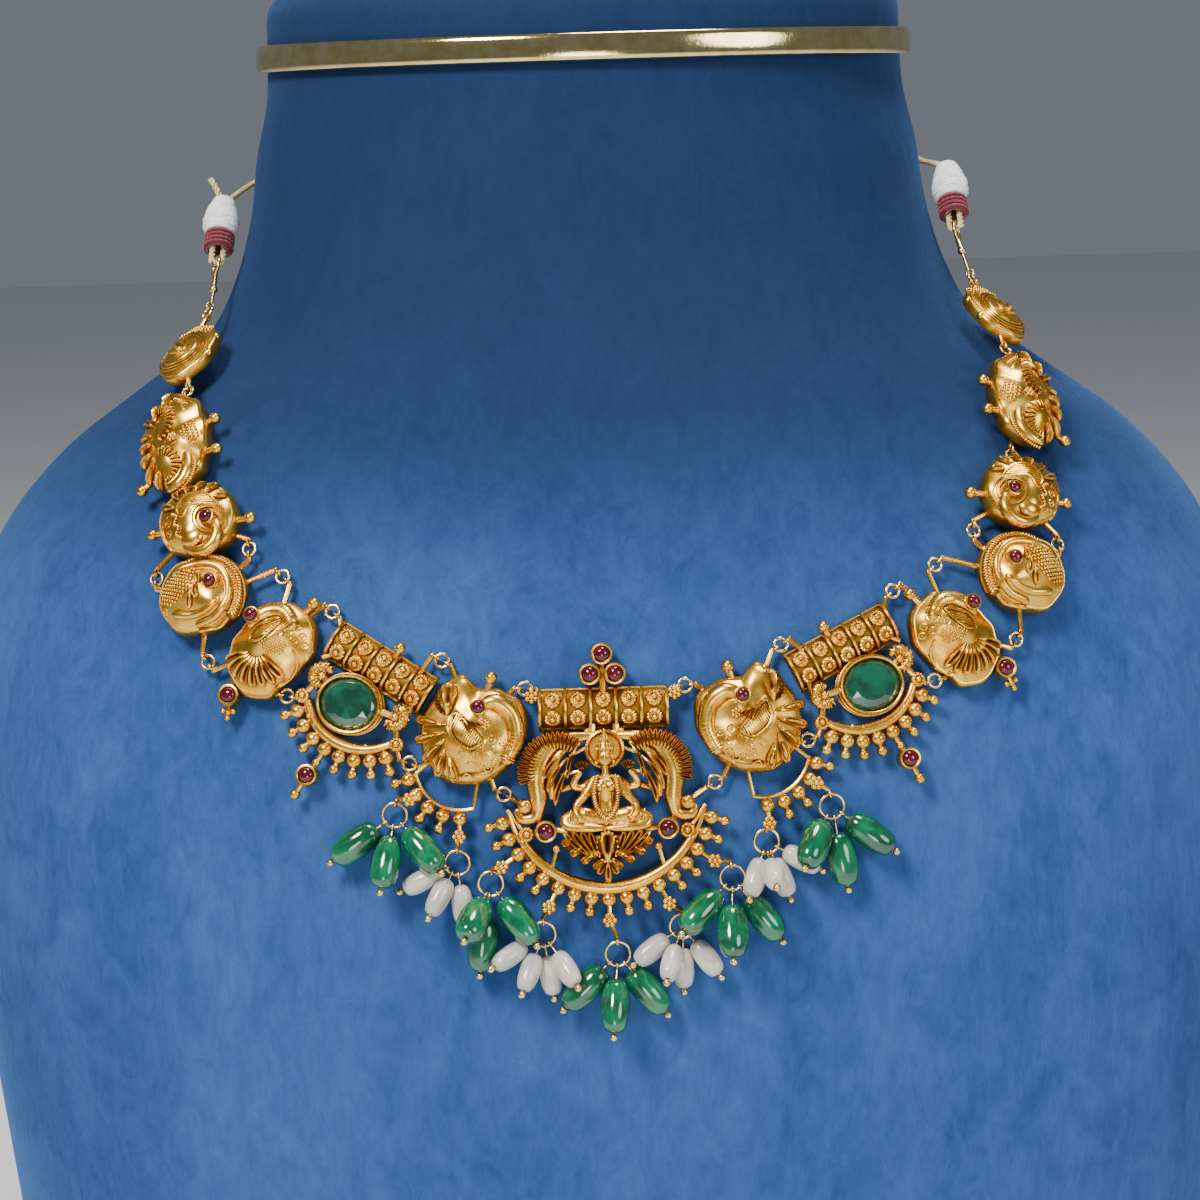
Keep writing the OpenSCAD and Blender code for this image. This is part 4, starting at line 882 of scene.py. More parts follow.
FINISHES = {
    "antique": lambda look: gold_material("antique_gold", *golds(look), 0.27),
    "wire": lambda look: gold_material("wire_gold", (0.95, 0.72, 0.3), (0.85, 0.55, 0.16), golds(look)[2],
                                       0.22, 0.6, 0.6),
    "band": lambda look: gold_material("band_gold", (0.88, 0.72, 0.36), (0.72, 0.55, 0.2),
                                       (0.2, 0.14, 0.04), 0.1, 0.3),
    "velvet": velvet_material,
    "ruby": lambda look: ruby_material(),
    "emerald": lambda look: emerald_material(),
    "green_bead": lambda look: green_bead_material(),
    "pearl": lambda look: pearl_material(),
    "maroon": lambda look: thread_material("maroon_thread", (0.09, 0.004, 0.012), (0.28, 0.015, 0.03),
                                           5200, 0.6),
    "cotton": lambda look: thread_material("white_cotton", (0.62, 0.64, 0.68), (0.93, 0.93, 0.92),
                                           3600, 0.9),
    "gold_thread": lambda look: thread_material("gold_thread", (0.5, 0.36, 0.1), (0.85, 0.72, 0.36),
                                                6000, 0.45),
}
MATERIALS = {}


def material(name):
    """A finish by its name, made when it is first wanted."""
    if name not in MATERIALS:
        MATERIALS[name] = FINISHES[name](bpy.context.scene.necklace_finish)
    return MATERIALS[name]


def make_piece(name, shell, finish, node, sharp=None):
    """Turns a shell in millimetres into a piece that rides with the bust and stands for its node."""
    points, faces, hollow = shell.merged()
    mesh = bpy.data.meshes.new(name)
    corners = np.concatenate([f.ravel() for f in faces])
    totals = np.concatenate([np.full(len(f), f.shape[1]) for f in faces])
    mesh.vertices.add(len(points))
    mesh.vertices.foreach_set("co", (points * MM).astype(np.float32).ravel())
    mesh.loops.add(len(corners))
    mesh.loops.foreach_set("vertex_index", corners.astype(np.int32))
    mesh.polygons.add(len(totals))
    mesh.polygons.foreach_set("loop_start", (np.cumsum(totals) - totals).astype(np.int32))
    mesh.polygons.foreach_set("use_smooth", np.ones(len(totals), bool))
    mesh.update(calc_edges=True)
    # Darkness of hollows and undersides, which the gold paints as patina and as painted shade.
    shade = mesh.attributes.new("hollow", "FLOAT", "POINT")
    shade.data.foreach_set("value", np.clip(hollow, 0, 1).astype(np.float32))
    mesh.validate()
    if sharp is not None:
        mesh.set_sharp_from_angle(angle=math.radians(sharp))
    mesh.materials.append(material(finish))
    made = bpy.data.objects.new(name, mesh)
    bpy.context.scene.collection.objects.link(made)
    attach(made, "root")
    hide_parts(node)
    return made


def granules(spots, segments=12):
    """Balls from a list of centre and diameter."""
    centres, sizes = zip(*spots)
    return growth("granules").run(centres, [], sizes, {
        "Segments": segments, "Rings": max(6, segments * 2 // 3)}, material("antique"))


def line_mesh(lines):
    """Points, edges and sizes of lines; a line is its points, its radius and whether it is closed."""
    points, edges, sizes = [], [], []
    for line in lines:
        p, r, closed = (*line, False)[:3]
        first = len(points)
        points += list(np.asarray(p, float))
        sizes += list(np.broadcast_to(np.asarray(r, float), (len(p),)))
        edges += [(first + i, first + i + 1) for i in range(len(p) - 1)]
        if closed:
            edges.append((first + len(p) - 1, first))
    return points, edges, sizes


def wires(lines, finish="antique", sides=8):
    """Round wires along lines."""
    points, edges, sizes = line_mesh(lines)
    return growth("wires").run(points, edges, sizes, {"Sides": sides}, material(finish))


def rope(path, spacing, size, lean):
    """A rope of slanting beads along a path."""
    points, edges, _ = line_mesh([(path, 1)])
    return growth("rope").run(points, edges, [], {
        "Spacing": spacing, "Bead size": size, "Lean": lean}, material("antique"))


def pattern_object(name, shell):
    """A shape that a tree repeats; it is removed once it has been used."""
    points, faces, _ = shell.merged()
    mesh = bpy.data.meshes.new(name)
    mesh.from_pydata(points.tolist(), [], [list(map(int, f)) for group in faces for f in group])
    made = bpy.data.objects.new(name, mesh)
    bpy.context.scene.collection.objects.link(made)
    return made


def repeated(tree, shape, values):
    """One shape repeated by a tree."""
    holder = pattern_object("pattern", shape)
    made = growth(tree).run([(0, 0, 0)], [], [], {"Shape": holder, **values}, material("antique"))
    bpy.data.objects.remove(holder)
    return made


def rod(a, b, r):
    """Straight line of wire."""
    return (np.array([a, b], float), r)


def soldered_eye(home, way, reach):
    """The wire of an eye that holds a ring of radius reach, and the point at the eye's far side."""
    t = around(18)
    eye = home.copy()
    eye[:3, 3] = moved(home, (way * reach, 0, 0))
    wire = moved(eye, np.stack([EYE_R * np.cos(t), np.zeros(18), EYE_R * np.sin(t)], -1))
    return (wire, EYE_WIRE_R, True), moved(home, (way * (reach + EYE_R), 0, 0))


def joint_eyes(side, numbers, place, way, ties=()):
    """Soldered eyes of numbered joints, each with a granule and a bar that ties it to its piece."""
    lines, balls = [], []
    home = place_matrix(place, side)
    for i, number in enumerate(numbers):
        azimuth, z, lift, heading = JOINTS[side][number]
        eye, back = soldered_eye(place_matrix((azimuth, z, heading, lift)), way, JUMP_R)
        tie = moved(home, ties[i]) if ties else back + 0.6 * (moved(home, (0, 0, 1.6)) - back)
        lines += [eye, rod(back, tie, TIE_R)]
        balls.append((back, 0.95))
    return wires(lines).include(granules(balls))


def ring_eye(number, place, side, centre, radius, angle):
    """Soldered eye that carries a bead ring, tied to the granule flower of its hanger."""
    azimuth, z, lift, heading = BEAD_RINGS[number]
    eye, back = soldered_eye(place_matrix((azimuth, z, heading - 180, lift)), 1, BEAD_RING_R)
    t = math.radians(angle)
    spot = (centre[0] + radius * math.cos(t), centre[1] + radius * math.sin(t), 2)
    return wires([eye, rod(back, moved(place_matrix(place, side), spot), HANGER_TIE_R)])


def flower_spots(p, d=1.0):
    """Seven granules: one in the middle and six round it."""
    x, y, z = p
    petals = [((x + d * 0.82 * math.cos(a), y + d * 0.82 * math.sin(a), z), d)
              for a in np.radians(30 + np.arange(6) * 60)]
    return [((x, y, z + 0.12), d * 1.1)] + petals


def bezel(shell, x, y, z0, z1, inner, wall=0.42, floor=1.0):
    """Thin round wall with a burnished lip, its floor sunk below the stone."""
    outer = inner + wall
    shell.lathe([(0, z0), (outer * 0.5, z0), (outer, z0 + 0.02), (outer, z1 - 0.5),
                 (outer - 0.02, z1 - 0.22), (outer - 0.1, z1 - 0.03), (inner + 0.08, z1 + 0.02),
                 (inner - 0.06, z1 - 0.06), (inner - 0.04, z1 - 0.3), (inner, z1 - floor),
                 (inner * 0.5, z1 - floor), (0, z1 - floor)], 36, (x, y, 0))


def cabochon(shell, x, y, z, d, rise):
    """Domed stone that stands on z with a short straight side."""
    r = d / 2
    rows = [(r * math.cos(t), 0.5 + rise * math.sin(t)) for t in np.radians(np.arange(0, 89, 11))]
    shell.lathe([(0, 0), (r * 0.5, 0), (r, 0.02), (r, 0.4)] + rows + [(0, 0.5 + rise)], 36, (x, y, z))


def spike_shape(double=True):
    """One ball or two on a neck, along x from the origin."""
    big, tip, reach, gap = 1.3, 0.9, 1.5, 2.3
    rows = [(0.34, 0.0), (0.34, 0.1)]
    rows += [(big * math.cos(a), reach + big * math.sin(a)) for a in np.radians(np.arange(-62, 68, 13))]
    if double:
        rows += [(0.5, reach + 1.16), (0.42, reach + 1.3), (0.46, reach + gap - 0.86)]
        rows += [(tip * math.cos(a), reach + gap + tip * math.sin(a))
                 for a in np.radians(np.arange(-58, 80, 15))]
        end = reach + gap + tip
    else:
        rows.append((big * math.cos(1.35), reach + big * math.sin(1.35)))
        end = reach + big
    turn = np.array([[0, 0, 1, 0], [0, 1, 0, 0], [-1, 0, 0, 0], [0, 0, 0, 1]], float)
    return Shell().include(Shell().lathe([(0, 0)] + rows + [(0, end)], 14), turn)


def fringe(shell, centre, radius, angles, hangers, z):
    """Spikes round an arc, evenly stepped; hangers gives the reach of those that end in a granule flower."""
    angles = np.asarray(angles, float)
    base = shifted(*centre, z)
    plain = [i for i in range(len(angles)) if i not in hangers]
    runs, start = [], 0
    for i in range(1, len(plain) + 1):
        if i == len(plain) or plain[i] != plain[i - 1] + 1:
            runs.append(plain[start:i])
            start = i
    for run in runs:
        step = math.radians(angles[run[1]] - angles[run[0]]) if len(run) > 1 else 0.0
        shell.include(repeated("fringe", spike_shape(), {
            "Count": len(run), "Radius": float(radius), "First angle": math.radians(angles[run[0]]),
            "Step angle": step}), base)
    for i, reach in hangers.items():
        turn = base @ turned("Z", angles[i]) @ shifted(radius, 0, 0)
        shell.include(spike_shape(False), turn)
        shell.include(wires([rod((1, 0, 0), (reach, 0, 0.6), 0.42)]), turn)
        shell.include(granules(flower_spots((reach, 0, 0.8))), turn)


def rosette_shape(radius=1.5, petals=14):
    """A domed button with a ring of ribs round a central ball."""
    rows = [(0, -0.3), (radius * 0.6, -0.3), (radius * 0.93, -0.28), (radius, 0.1), (radius * 0.985, 0.34),
            (radius * 0.93, 0.55), (radius * 0.84, 0.72), (radius * 0.72, 0.82), (radius * 0.6, 0.84),
            (radius * 0.5, 0.78), (radius * 0.44, 0.6), (radius * 0.4, 0.62)]
    top = [(0.52 * math.cos(t), 0.86 + 0.5 * math.sin(t)) for t in np.radians([-28, 0, 20, 40, 60, 78])]
    share = [0, 0, 0.3, 0.9, 1, 1, 1, 1, 0.7, 0.3, 0] + [0] * 6
    return Shell().lathe(rows + top + [(0, 1.36)], petals * 3, ripple=(petals, 0.13, share))


def rosette_bar(shell, x, y, width):
    """Barrel bar with two rows of rosettes, wire hoops between its columns and a wire along each side."""
    columns, sink, home = 5, -0.9, shifted(x, y, 0)
    pitch = width / columns * 0.98
    t = np.radians(np.linspace(-72, 72, 24))
    ring = np.stack([np.zeros(24), 3.45 * np.sin(t), 3.45 * np.cos(t) + sink], -1)
    ring = np.concatenate([ring, [[0, 3.28, 0], [0, -3.28, 0]]])
    ends = ((-width / 2 + 0.05, 0.93), (-width / 2 + 0.2, 1), (width / 2 - 0.2, 1),
            (width / 2 - 0.05, 0.93))
    rings = [ring[::-1] * np.array([1, s, s]) + np.array([px, 0, 0]) for px, s in ends]
    # The barrel under the rosettes is painted fully dark: painted shade beneath them.
    shell.include(Shell().rings(rings, rings[0].mean(0), rings[-1].mean(0), 1.0), home)
    shell.include(repeated("rosettes", rosette_shape(), {
        "Columns": columns, "Pitch": pitch, "Tilt": math.radians(27), "Barrel radius": 3.15,
        "Barrel depth": sink}), home)
    a = np.radians(np.linspace(-74, 74, 19))
    hoop = np.stack([np.zeros(19), 3.78 * np.sin(a), 3.78 * np.cos(a) + sink], -1)
    lines = [(hoop + ((i - columns / 2) * pitch, 0, 0), 0.3) for i in range(columns + 1)]
    lines += [rod((-width / 2 + 0.2, row, 0.35), (width / 2 - 0.2, row, 0.35), 0.28) for row in (-3.3, 3.3)]
    shell.include(wires(lines), home)


def crescent(shell, centre, radius, start, stop, thick, tip, z):
    """Smooth polished crescent with a fine wire along its outer foot."""
    steps = 48
    path = arc(centre, radius, start, stop, steps, z)
    swell = np.sin(np.pi * np.linspace(0, 1, steps + 1))
    shell.tube(path, (tip + (thick - tip) * swell) / 2, 20)
    foot = arc(centre, radius + thick * 0.42, start + 2, stop - 2, steps, z - 0.5)
    shell.include(wires([(foot, 0.2)]))


# Bust, beads and cord, the sidebar's values, the findings and the stage

def bust_shell():
    """Velvet bust: rings of points, closer over the shoulders and the neck, and a rounded top."""
    heights = np.concatenate([[0, 1, 3], np.arange(8, 90, 5), np.arange(90, 132, 2.5),
                              np.arange(132, 232, 1.25), np.arange(232, BUST_TOP - 7, 2)])
    columns = 288
    azimuths = np.arange(columns) * 360 / columns
    rings = [skin(azimuths, max(z, 0.01)) * (1, 1, 0) + (0, 0, z) for z in heights]
    for drop, share in TOP_EDGE:
        z = BUST_TOP - drop
        rings.append(skin(azimuths, z, share) * (1, 1, 0) + (0, 0, z))
    rings = np.array(rings)
    low, high = rings[0].mean(0), rings[-1].mean(0)
    lid = [high + (rings[-1] - high) * share for share in (0.7, 0.4, 0.15)]
    return Shell().rings(np.concatenate([rings, lid]), low, high)


def band_shell():
    """Rolled band with rounded edges and a faint crown."""
    section = [(0.3, -0.5), (0.62, -0.5), (0.8, -0.48), (0.93, -0.42), (1.0, -0.3), (1.03, -0.12),
               (1.03, 0.12), (1.0, 0.3), (0.93, 0.42), (0.8, 0.48), (0.62, 0.5), (0.3, 0.5)]
    rings, columns, height, depth = [], 240, 5, 2
    for azimuth in np.arange(columns) * 360 / columns:
        ring = []
        for out, up in section:
            z = BAND_Z + up * height
            q = outward(azimuth, z)
            ring.append(skin(azimuth, z) + unit(np.array([q[0], q[1], 0])) * (out * depth + 0.2))
        rings.append(ring[::-1])
    return Shell().loop(rings)


def bead_matrix(number, bead):
    """Frame of a bead's pin, z along the pin."""
    angle, lean, _ = bead
    azimuth, z, lift, _ = BEAD_RINGS[number]
    return (place_matrix((azimuth, z, 0, lift)) @ turned("Z", -angle) @ shifted(0, -BEAD_RING_R, 0)
            @ turned("X", 90 - lean))


def bead_shell(number, size, seed):
    """Drilled barrel beads of one cluster, each a little uneven."""
    width, height = size
    made = Shell()
    rng = np.random.default_rng(seed)
    for bead in BEADS[number]:
        u = np.linspace(-1, 1, 22)
        swell = rng.uniform(-0.06, 0.06)
        barrel = np.sqrt(np.clip(1 - np.abs(u) ** 2.3, 0, 1)) ** 0.9
        r = np.minimum(width / 2 * (0.32 + 0.68 * barrel) * (1 + swell * u), width / 2)
        z = u * (height / 2 - 0.02)
        mouth = ((BORE_R, 0.5), (BORE_R, 0.06), (0.5, 0))
        rows = np.array([(m, z[0] + d) for m, d in mouth] + list(zip(r, z))
                        + [(m, z[-1] - d) for m, d in mouth[::-1]])
        t = around(32)
        phase = rng.uniform(0, 6.28)
        squash = 1 - 0.035 * (1 + np.cos(2 * t + phase))
        rings = np.stack([rows[:, :1] * np.cos(t) * squash, rows[:, :1] * np.sin(t) * squash,
                          np.repeat(rows[:, 1:], 32, 1)], -1)
        local = Shell().loop(rings)
        centre = shifted(0, 0, PIN_EYE_R + bead[2] + 0.1 + height / 2)
        made.include(local, bead_matrix(number, bead) @ centre)
    return made


def cord_paths():
    """Route of the cord from its left tail to its right loop."""
    ends = [place_matrix(CORD_END[side]) for side in (0, 1)]

    def laid(side, points):
        return [moved(ends[side], p) for p in points]

    neck = [skin(a, z) + outward(a, z) * out for a, z, out in NECK_ROUTE]
    return np.array(laid(0, CORD_TAIL) + laid(0, CORD_LOOP) + laid(0, CORD_AWAY) + list(through(neck, 2))
                    + laid(1, CORD_AWAY)[::-1] + laid(1, CORD_LOOP)[::-1] + laid(1, [(6, 0, 1.05)]))


def whipping_shell():
    """Four turns of thick thread round the doubled cord, each of three strands."""
    made = Shell()
    rows = [(2.35, -1.8), (2.35, 1.8), (1.7, 1.8), (1.7, -1.8)]
    t = around(40)
    made.loop([np.stack([np.full(40, x), r * np.cos(t), r * np.sin(t)], -1) for r, x in rows], 0.8)
    lines = []
    for turn in range(4):
        for strand in range(3):
            a = np.linspace(0, 2 * np.pi, 60, endpoint=False)
            swirl = a * 14 + strand * 2 * np.pi / 3
            x = -1.35 + 0.9 * turn + 0.2 * np.cos(swirl)
            r = 2.58 + 0.2 * np.sin(swirl)
            lines.append((np.stack([x, r * np.cos(a), r * np.sin(a)], -1), 0.22, True))
    return made.include(wires(lines, "maroon", 6))


def cotton_shell(seed):
    """Wound cotton: a soft cone under overlapping turns and loose fibres."""
    rng = np.random.default_rng(seed)
    along, radii = np.array([(0.0, 2.7), (1.2, 3.3), (3, 3.4), (5.4, 2.9), (7.6, 2.15), (8, 1.95)]).T
    start, sides, fibres, steps = 2, 48, 26, 44
    t = around(sides)

    def ring(x, r):
        return np.stack([np.full(sides, x + start), r * np.cos(t), r * np.sin(t)], -1)

    outer = [ring(x, np.interp(x, along, radii)) for x in np.linspace(0, 8, 26)]
    made = Shell().loop(outer + [ring(x, 1.72) for x in (8, 4, 0)], 0.5)
    lines = []
    for i in range(fibres):
        x0, x1 = sorted(rng.uniform(0.1, 7.7, 2))
        a = np.linspace(0, rng.uniform(3.5, 7), steps) + rng.uniform(0, 6.28)
        x = np.linspace(x0, x0 + (x1 - x0) * 0.45, steps) + 0.12 * np.sin(a * 3)
        r = np.interp(x, along, radii) - 0.08 + 0.1 * np.sin(a * 5 + i)
        lines.append((np.stack([x + start, r * np.cos(a), r * np.sin(a)], -1), rng.uniform(0.09, 0.2)))
    return made.include(wires(lines, "cotton", 6))


def colour_property(name, description, default):
    """A colour in the sidebar."""
    return bpy.props.FloatVectorProperty(
        name=name, description=description, subtype="COLOR", size=3, min=0, max=1, default=default)


def pair_property(name, description, default, low, high):
    """A pair of sizes in the sidebar."""
    return bpy.props.FloatVectorProperty(
        name=name, description=description + ", in millimetres", size=2, default=default, min=low, max=high)


class Finish(bpy.types.PropertyGroup):
    """Colours of the velvet and the gold."""

    velvet: colour_property("Velvet", "Main colour of the velvet", (0.017, 0.057, 0.19))
    # This colour paints the sheen of the pile.
    velvet_light: colour_property(
        "Velvet, brushed up", "Colour where the pile catches the light", (0.05, 0.14, 0.38))
    # This colour paints the shade of the neck and the dark flecks of the pile.
    velvet_dark: colour_property(
        "Velvet, brushed down", "Colour of the neck and of the dark flecks", (0.005, 0.014, 0.045))
    gold_bright: colour_property("Gold, bright", "Colour of the gold where it is rubbed bright",
                                 (1.0, 0.62, 0.1))
    gold_middle: colour_property("Gold, warm", "Colour of the flat gold", (0.88, 0.4, 0.025))
    # This colour paints both the patina and the shade of the hollows.
    gold_recess: colour_property("Gold, hollows", "Colour of the gold in its hollows", (0.09, 0.024, 0.002))


class Sizes(bpy.types.PropertyGroup):
    """Sizes of the stones and beads."""

    green_bead: pair_property("Green bead", "Width and length of a green bead", (5.4, 9.2), 3, 12)
    pearl: pair_property("Pearl", "Width and length of a pearl", (3.8, 6.8), 2, 10)
    emerald: pair_property("Emerald", "Width and height of the oval emerald", (10, 8.8), 6, 11)
    ruby: bpy.props.FloatProperty(
        name="Ruby", description="Width of a set ruby, in millimetres", default=2.7, min=1.5, max=2.9)


class NECKLACE_OT_bust(bpy.types.Operator):
    """Makes the velvet bust and the gold band round its neck"""

    bl_idname = "necklace.bust"
    bl_label = "Velvet bust and band"

    def execute(self, context):
        make_piece("velvet_bust", bust_shell(), "velvet", "bust")
        make_piece("rolled_band", band_shell(), "band", "neck_band")
        return {"FINISHED"}


class NECKLACE_OT_beads(bpy.types.Operator):
    """Makes the hanging green beads and pearls"""

    bl_idname = "necklace.beads"
    bl_label = "Beads and pearls"

    def execute(self, context):
        sizes = context.scene.necklace_sizes
        for k in range(9):
            if k % 2 == 0:
                make_piece(f"green_drops_{k + 1}", bead_shell(k, tuple(sizes.green_bead), 40 + k),
                           "green_bead", f"green_beads_{k + 1}")
            else:
                make_piece(f"pearl_drops_{k + 1}", bead_shell(k, tuple(sizes.pearl), 40 + k), "pearl",
                           f"pearls_{k + 1}")
        return {"FINISHED"}


class NECKLACE_OT_cord(bpy.types.Operator):
    """Makes the cord, its thread whipping and its cotton binding"""

    bl_idname = "necklace.cord"
    bl_label = "Cord and bindings"

    def execute(self, context):
        points, edges, _ = line_mesh([(through(cord_paths(), 3), 1)])
        made = growth("cord").run(points, edges, [], {
            "Diameter": 1.24, "Strands": 3, "Turns per mm": 0.35}, material("gold_thread"))
        make_piece("twisted_cord", made, "gold_thread", "neck_cord")
        for side, label in enumerate(SIDES):
            end = place_matrix(CORD_END[side])
            make_piece(f"thread_whipping_{label}", Shell().include(whipping_shell(), end), "maroon",
                       f"whipping_{label}")
            make_piece(f"wound_cotton_{label}", Shell().include(cotton_shell(7 + side), end), "cotton",
                       f"cotton_binding_{label}")
        return {"FINISHED"}


class NECKLACE_OT_findings(bpy.types.Operator):
    """Gives the pins, the rings and the end links their polished wire finish"""

    bl_idname = "necklace.findings"
    bl_label = "Pins, rings and links"

    def execute(self, context):
        for name, node in frame["nodes"].items():
            if name.startswith(("pins_", "bead_rings", "jump_rings_", "end_link_")):
                node.data.materials.clear()
                node.data.materials.append(material("wire"))
        return {"FINISHED"}


class NECKLACE_OT_stage(bpy.types.Operator):
    """Makes the pale floor, the soft lights and the camera"""

    bl_idname = "necklace.stage"
    bl_label = "Stage"

    def execute(self, context):
        scene = context.scene
        mesh = bpy.data.meshes.new("studio_floor")
        reach, low = 3, -0.0005
        mesh.from_pydata([(reach * x, reach * y, low) for x, y in ((-1, -1), (1, -1), (1, 1), (-1, 1))], [],
                         [range(4)])
        nodes, feed = new_material("floor_paper", {"Roughness": 0.9})
        tooth = nodes.noise(60, 4)
        mesh.materials.append(feed(Base_Color=nodes.blend(tooth, (0.78, 0.79, 0.8), (0.83, 0.83, 0.83))))
        floor = bpy.data.objects.new("studio_floor", mesh)
        scene.collection.objects.link(floor)
        world = bpy.data.worlds.new("studio")
        scene.world = world
        world.use_nodes = True
        world.node_tree.nodes["Background"].inputs[0].default_value = (0.8, 0.87, 1.0, 1)
        world.node_tree.nodes["Background"].inputs[1].default_value = 0.2
        for name, place, size, power, colour in LIGHTS:
            light = bpy.data.lights.new(name, "AREA")
            light.shape, light.size, light.energy, light.color = "DISK", size, power, colour
            lamp = bpy.data.objects.new(name, light)
            scene.collection.objects.link(lamp)
            lamp.location = place
            lamp.rotation_euler = (Vector(LIGHT_AIM) - Vector(place)).to_track_quat("-Z", "Y").to_euler()
        pitch, roll = math.radians(PITCH), math.radians(ROLL)
        ahead = Vector((0, math.cos(pitch), -math.sin(pitch)))
        level_up, level_right = Vector((0, math.sin(pitch), math.cos(pitch))), Vector((1, 0, 0))
        right = level_right * math.cos(roll) - level_up * math.sin(roll)
        up = level_right * math.sin(roll) + level_up * math.cos(roll)
        data = bpy.data.cameras.new("photo_camera")
        data.lens, data.sensor_width, data.clip_start = LENS, SENSOR, 0.01
        camera = bpy.data.objects.new("photo_camera", data)
        scene.collection.objects.link(camera)
        pose = Matrix((right, up, -ahead)).transposed().to_4x4()
        pose.translation = Vector(CAMERA_AIM) - ahead * AWAY
        camera.matrix_world = pose
        scene.camera = camera
        return {"FINISHED"}


# Goldwork and stones

def fused(shell):
    """Melts overlapping forms into one soft surface."""
    holder = pattern_object("clay", shell)
    melt = holder.modifiers.new("melt", "REMESH")
    melt.mode, melt.voxel_size = "VOXEL", 0.13
    soften = holder.modifiers.new("soften", "SMOOTH")
    soften.iterations = 3
    grown = evaluated_mesh(holder)
    points, faces = mesh_arrays(grown)
    bpy.data.objects.remove(holder)
    bpy.data.meshes.remove(grown)
    return Shell().add(points, faces)


def laid_leaf(shell, dome, root, tip, width, lift=0.05, **shape):
    """A feather or leaf that follows the dome from its root to its tip."""
    inner = [tip[k] + (root[k] - tip[k]) * 0.12 for k in (0, 1)]
    shell.leaf(root, tip, width, float(dome.height(*root)) + lift, float(dome.height(*inner)) + lift,
               **shape)


def ribbed(path, radius, count, wire=0.13):
    """Fine collars round a bar."""
    lines = []
    path = np.asarray(path, float)
    along = unit(np.gradient(path, axis=0))
    for s in np.linspace(0.06, 0.94, count) * (len(path) - 1):
        i = int(s)
        a = along[i]
        side = unit(np.cross(a, (0, 0, 1)))
        over = np.cross(side, a)
        t = np.radians(np.arange(16) * 22.5)[:, None]
        lines.append((path[i] + radius * (side * np.cos(t) + over * np.sin(t)), wire, True))
    return wires(lines, sides=6)


def comb(shell, dome, centre, inner, outer, start, stop, count, width, lift=0.1):
    """A fan of small grooved ribs round a centre."""
    for a in np.radians(np.linspace(start, stop, count)):
        c, s = math.cos(a), math.sin(a)
        root = (centre[0] + inner * c, centre[1] + inner * s)
        tip = (centre[0] + outer * c, centre[1] + outer * s)
        laid_leaf(shell, dome, root, tip, width, lift, rows=9, across=8, thick=0.5, arch=0.2, groove=0.3)


def scales(dome, polygon, degrees, pitch, size):
    """Rows of granules within a polygon."""
    spots = []
    for i, line in enumerate(dome.hatch(polygon, degrees, pitch)):
        length = np.linalg.norm(line[-1] - line[0])
        count = max(2, int(length / (size * 1.05)))
        for s in (np.arange(count) + 0.25 + 0.5 * (i % 2)) / count:
            if s < 1:
                p = line[0] + (line[-1] - line[0]) * s
                spots.append(((p[0], p[1], float(dome.height(p[0], p[1])) + size * 0.12), size))
    return granules(spots, 10)


def eye_setting(shell, x, y, top, base):
    """Raised round seat of a ruby eye."""
    bezel(shell, x, y, base, top + 0.3, 1.12, 0.33, 0.34)


def stem_and_ball(shell, a, b, r, d):
    """Bar of radius r from a to a ball of diameter d at b."""
    shell.tube(np.linspace(a, b, 4), r, 14)
    shell.oval(b, (d / 2,) * 3)


def ring_stamps(dome, spots, r=0.62):
    """Small rings laid on a dome, each round a granule."""
    balls = [((x, y, float(dome.height(x, y))), r * 0.7) for x, y in spots]
    return wires([(dome.circle(x, y, r), 0.15, True) for x, y in spots],
                 sides=6).include(granules(balls, 8))


def plaque(edge, rim, rise, bumps, grooves=(), **detail):
    """A dome, and its shell with a fine wire laid just inside its outline."""
    dome = Dome(edge, rim, rise, bumps, grooves)
    a = np.arange(72) * 5
    r = dome.radius(a) * 0.93
    x, y = r * np.cos(np.radians(a)), r * np.sin(np.radians(a))
    line = np.stack([x, y, dome.height(x, y)], -1)
    return dome, dome.shell(**detail).include(wires([(line, 0.2, True)], sides=6))


def netted(dome, outline, wire, degrees, pitch):
    """An outline of wire on a dome, filled with fine lines."""
    lines = [(line, 0.1) for line in dome.hatch(outline, degrees, pitch, 0.05)]
    return wires([(dome.lay(outline, 0.12, 5, True), wire, True)]).include(wires(lines, sides=5))


def hung(local, place, side, near, far):
    """A plaque at its place, with the eyes of its joints towards the pendant and away from it."""
    made = Shell().include(local, place_matrix(place, side))
    return made.include(joint_eyes(side, near, place, 1)).include(joint_eyes(side, far, place, -1))


# Chasing of the peacocks: wing outlines, feather roots and tips, ring stamps and routes of the necks
WING_1 = ((-3.1, 3.6), (-4, 1.3), (-3.4, -0.6), (-2.1, -1.8), (-0.7, -2.5), (0.9, -1.8), (1.4, -0.9),
          (-0.5, 1.2))
FEATHERS_1 = (((-4.8, 1.8), (-10.2, 2.8)), ((-5, 0.5), (-10.4, -1)), ((-5, -0.7), (-8.9, -4.4)),
              ((-5.1, -2.2), (-6.6, -7.2)), ((-4.3, -3.9), (-3.4, -8)))
STAMPS_1 = ((-2.1, -3.4), (0, -3.5), (1.8, -3.9), (3.4, -2.8), (4.9, -1.5), (3, -1), (1.5, -2.2),
            (3.4, -4.9), (2.2, -5.7), (0.6, -5.5), (-0.7, -5.2))
NECK_1 = ((5.4, -4.4, 3.6), (7, -0.6, 3.4), (6.2, 3.4, 3.6), (3.6, 5.4, 4.3), (1, 4.6, 4.5))
WING_2 = ((-2.6, 0.7), (-2.2, 2.4), (-0.4, 3.8), (2.6, 4.3), (1.6, 2.6), (0.4, 1.3), (-0.8, 0.6))
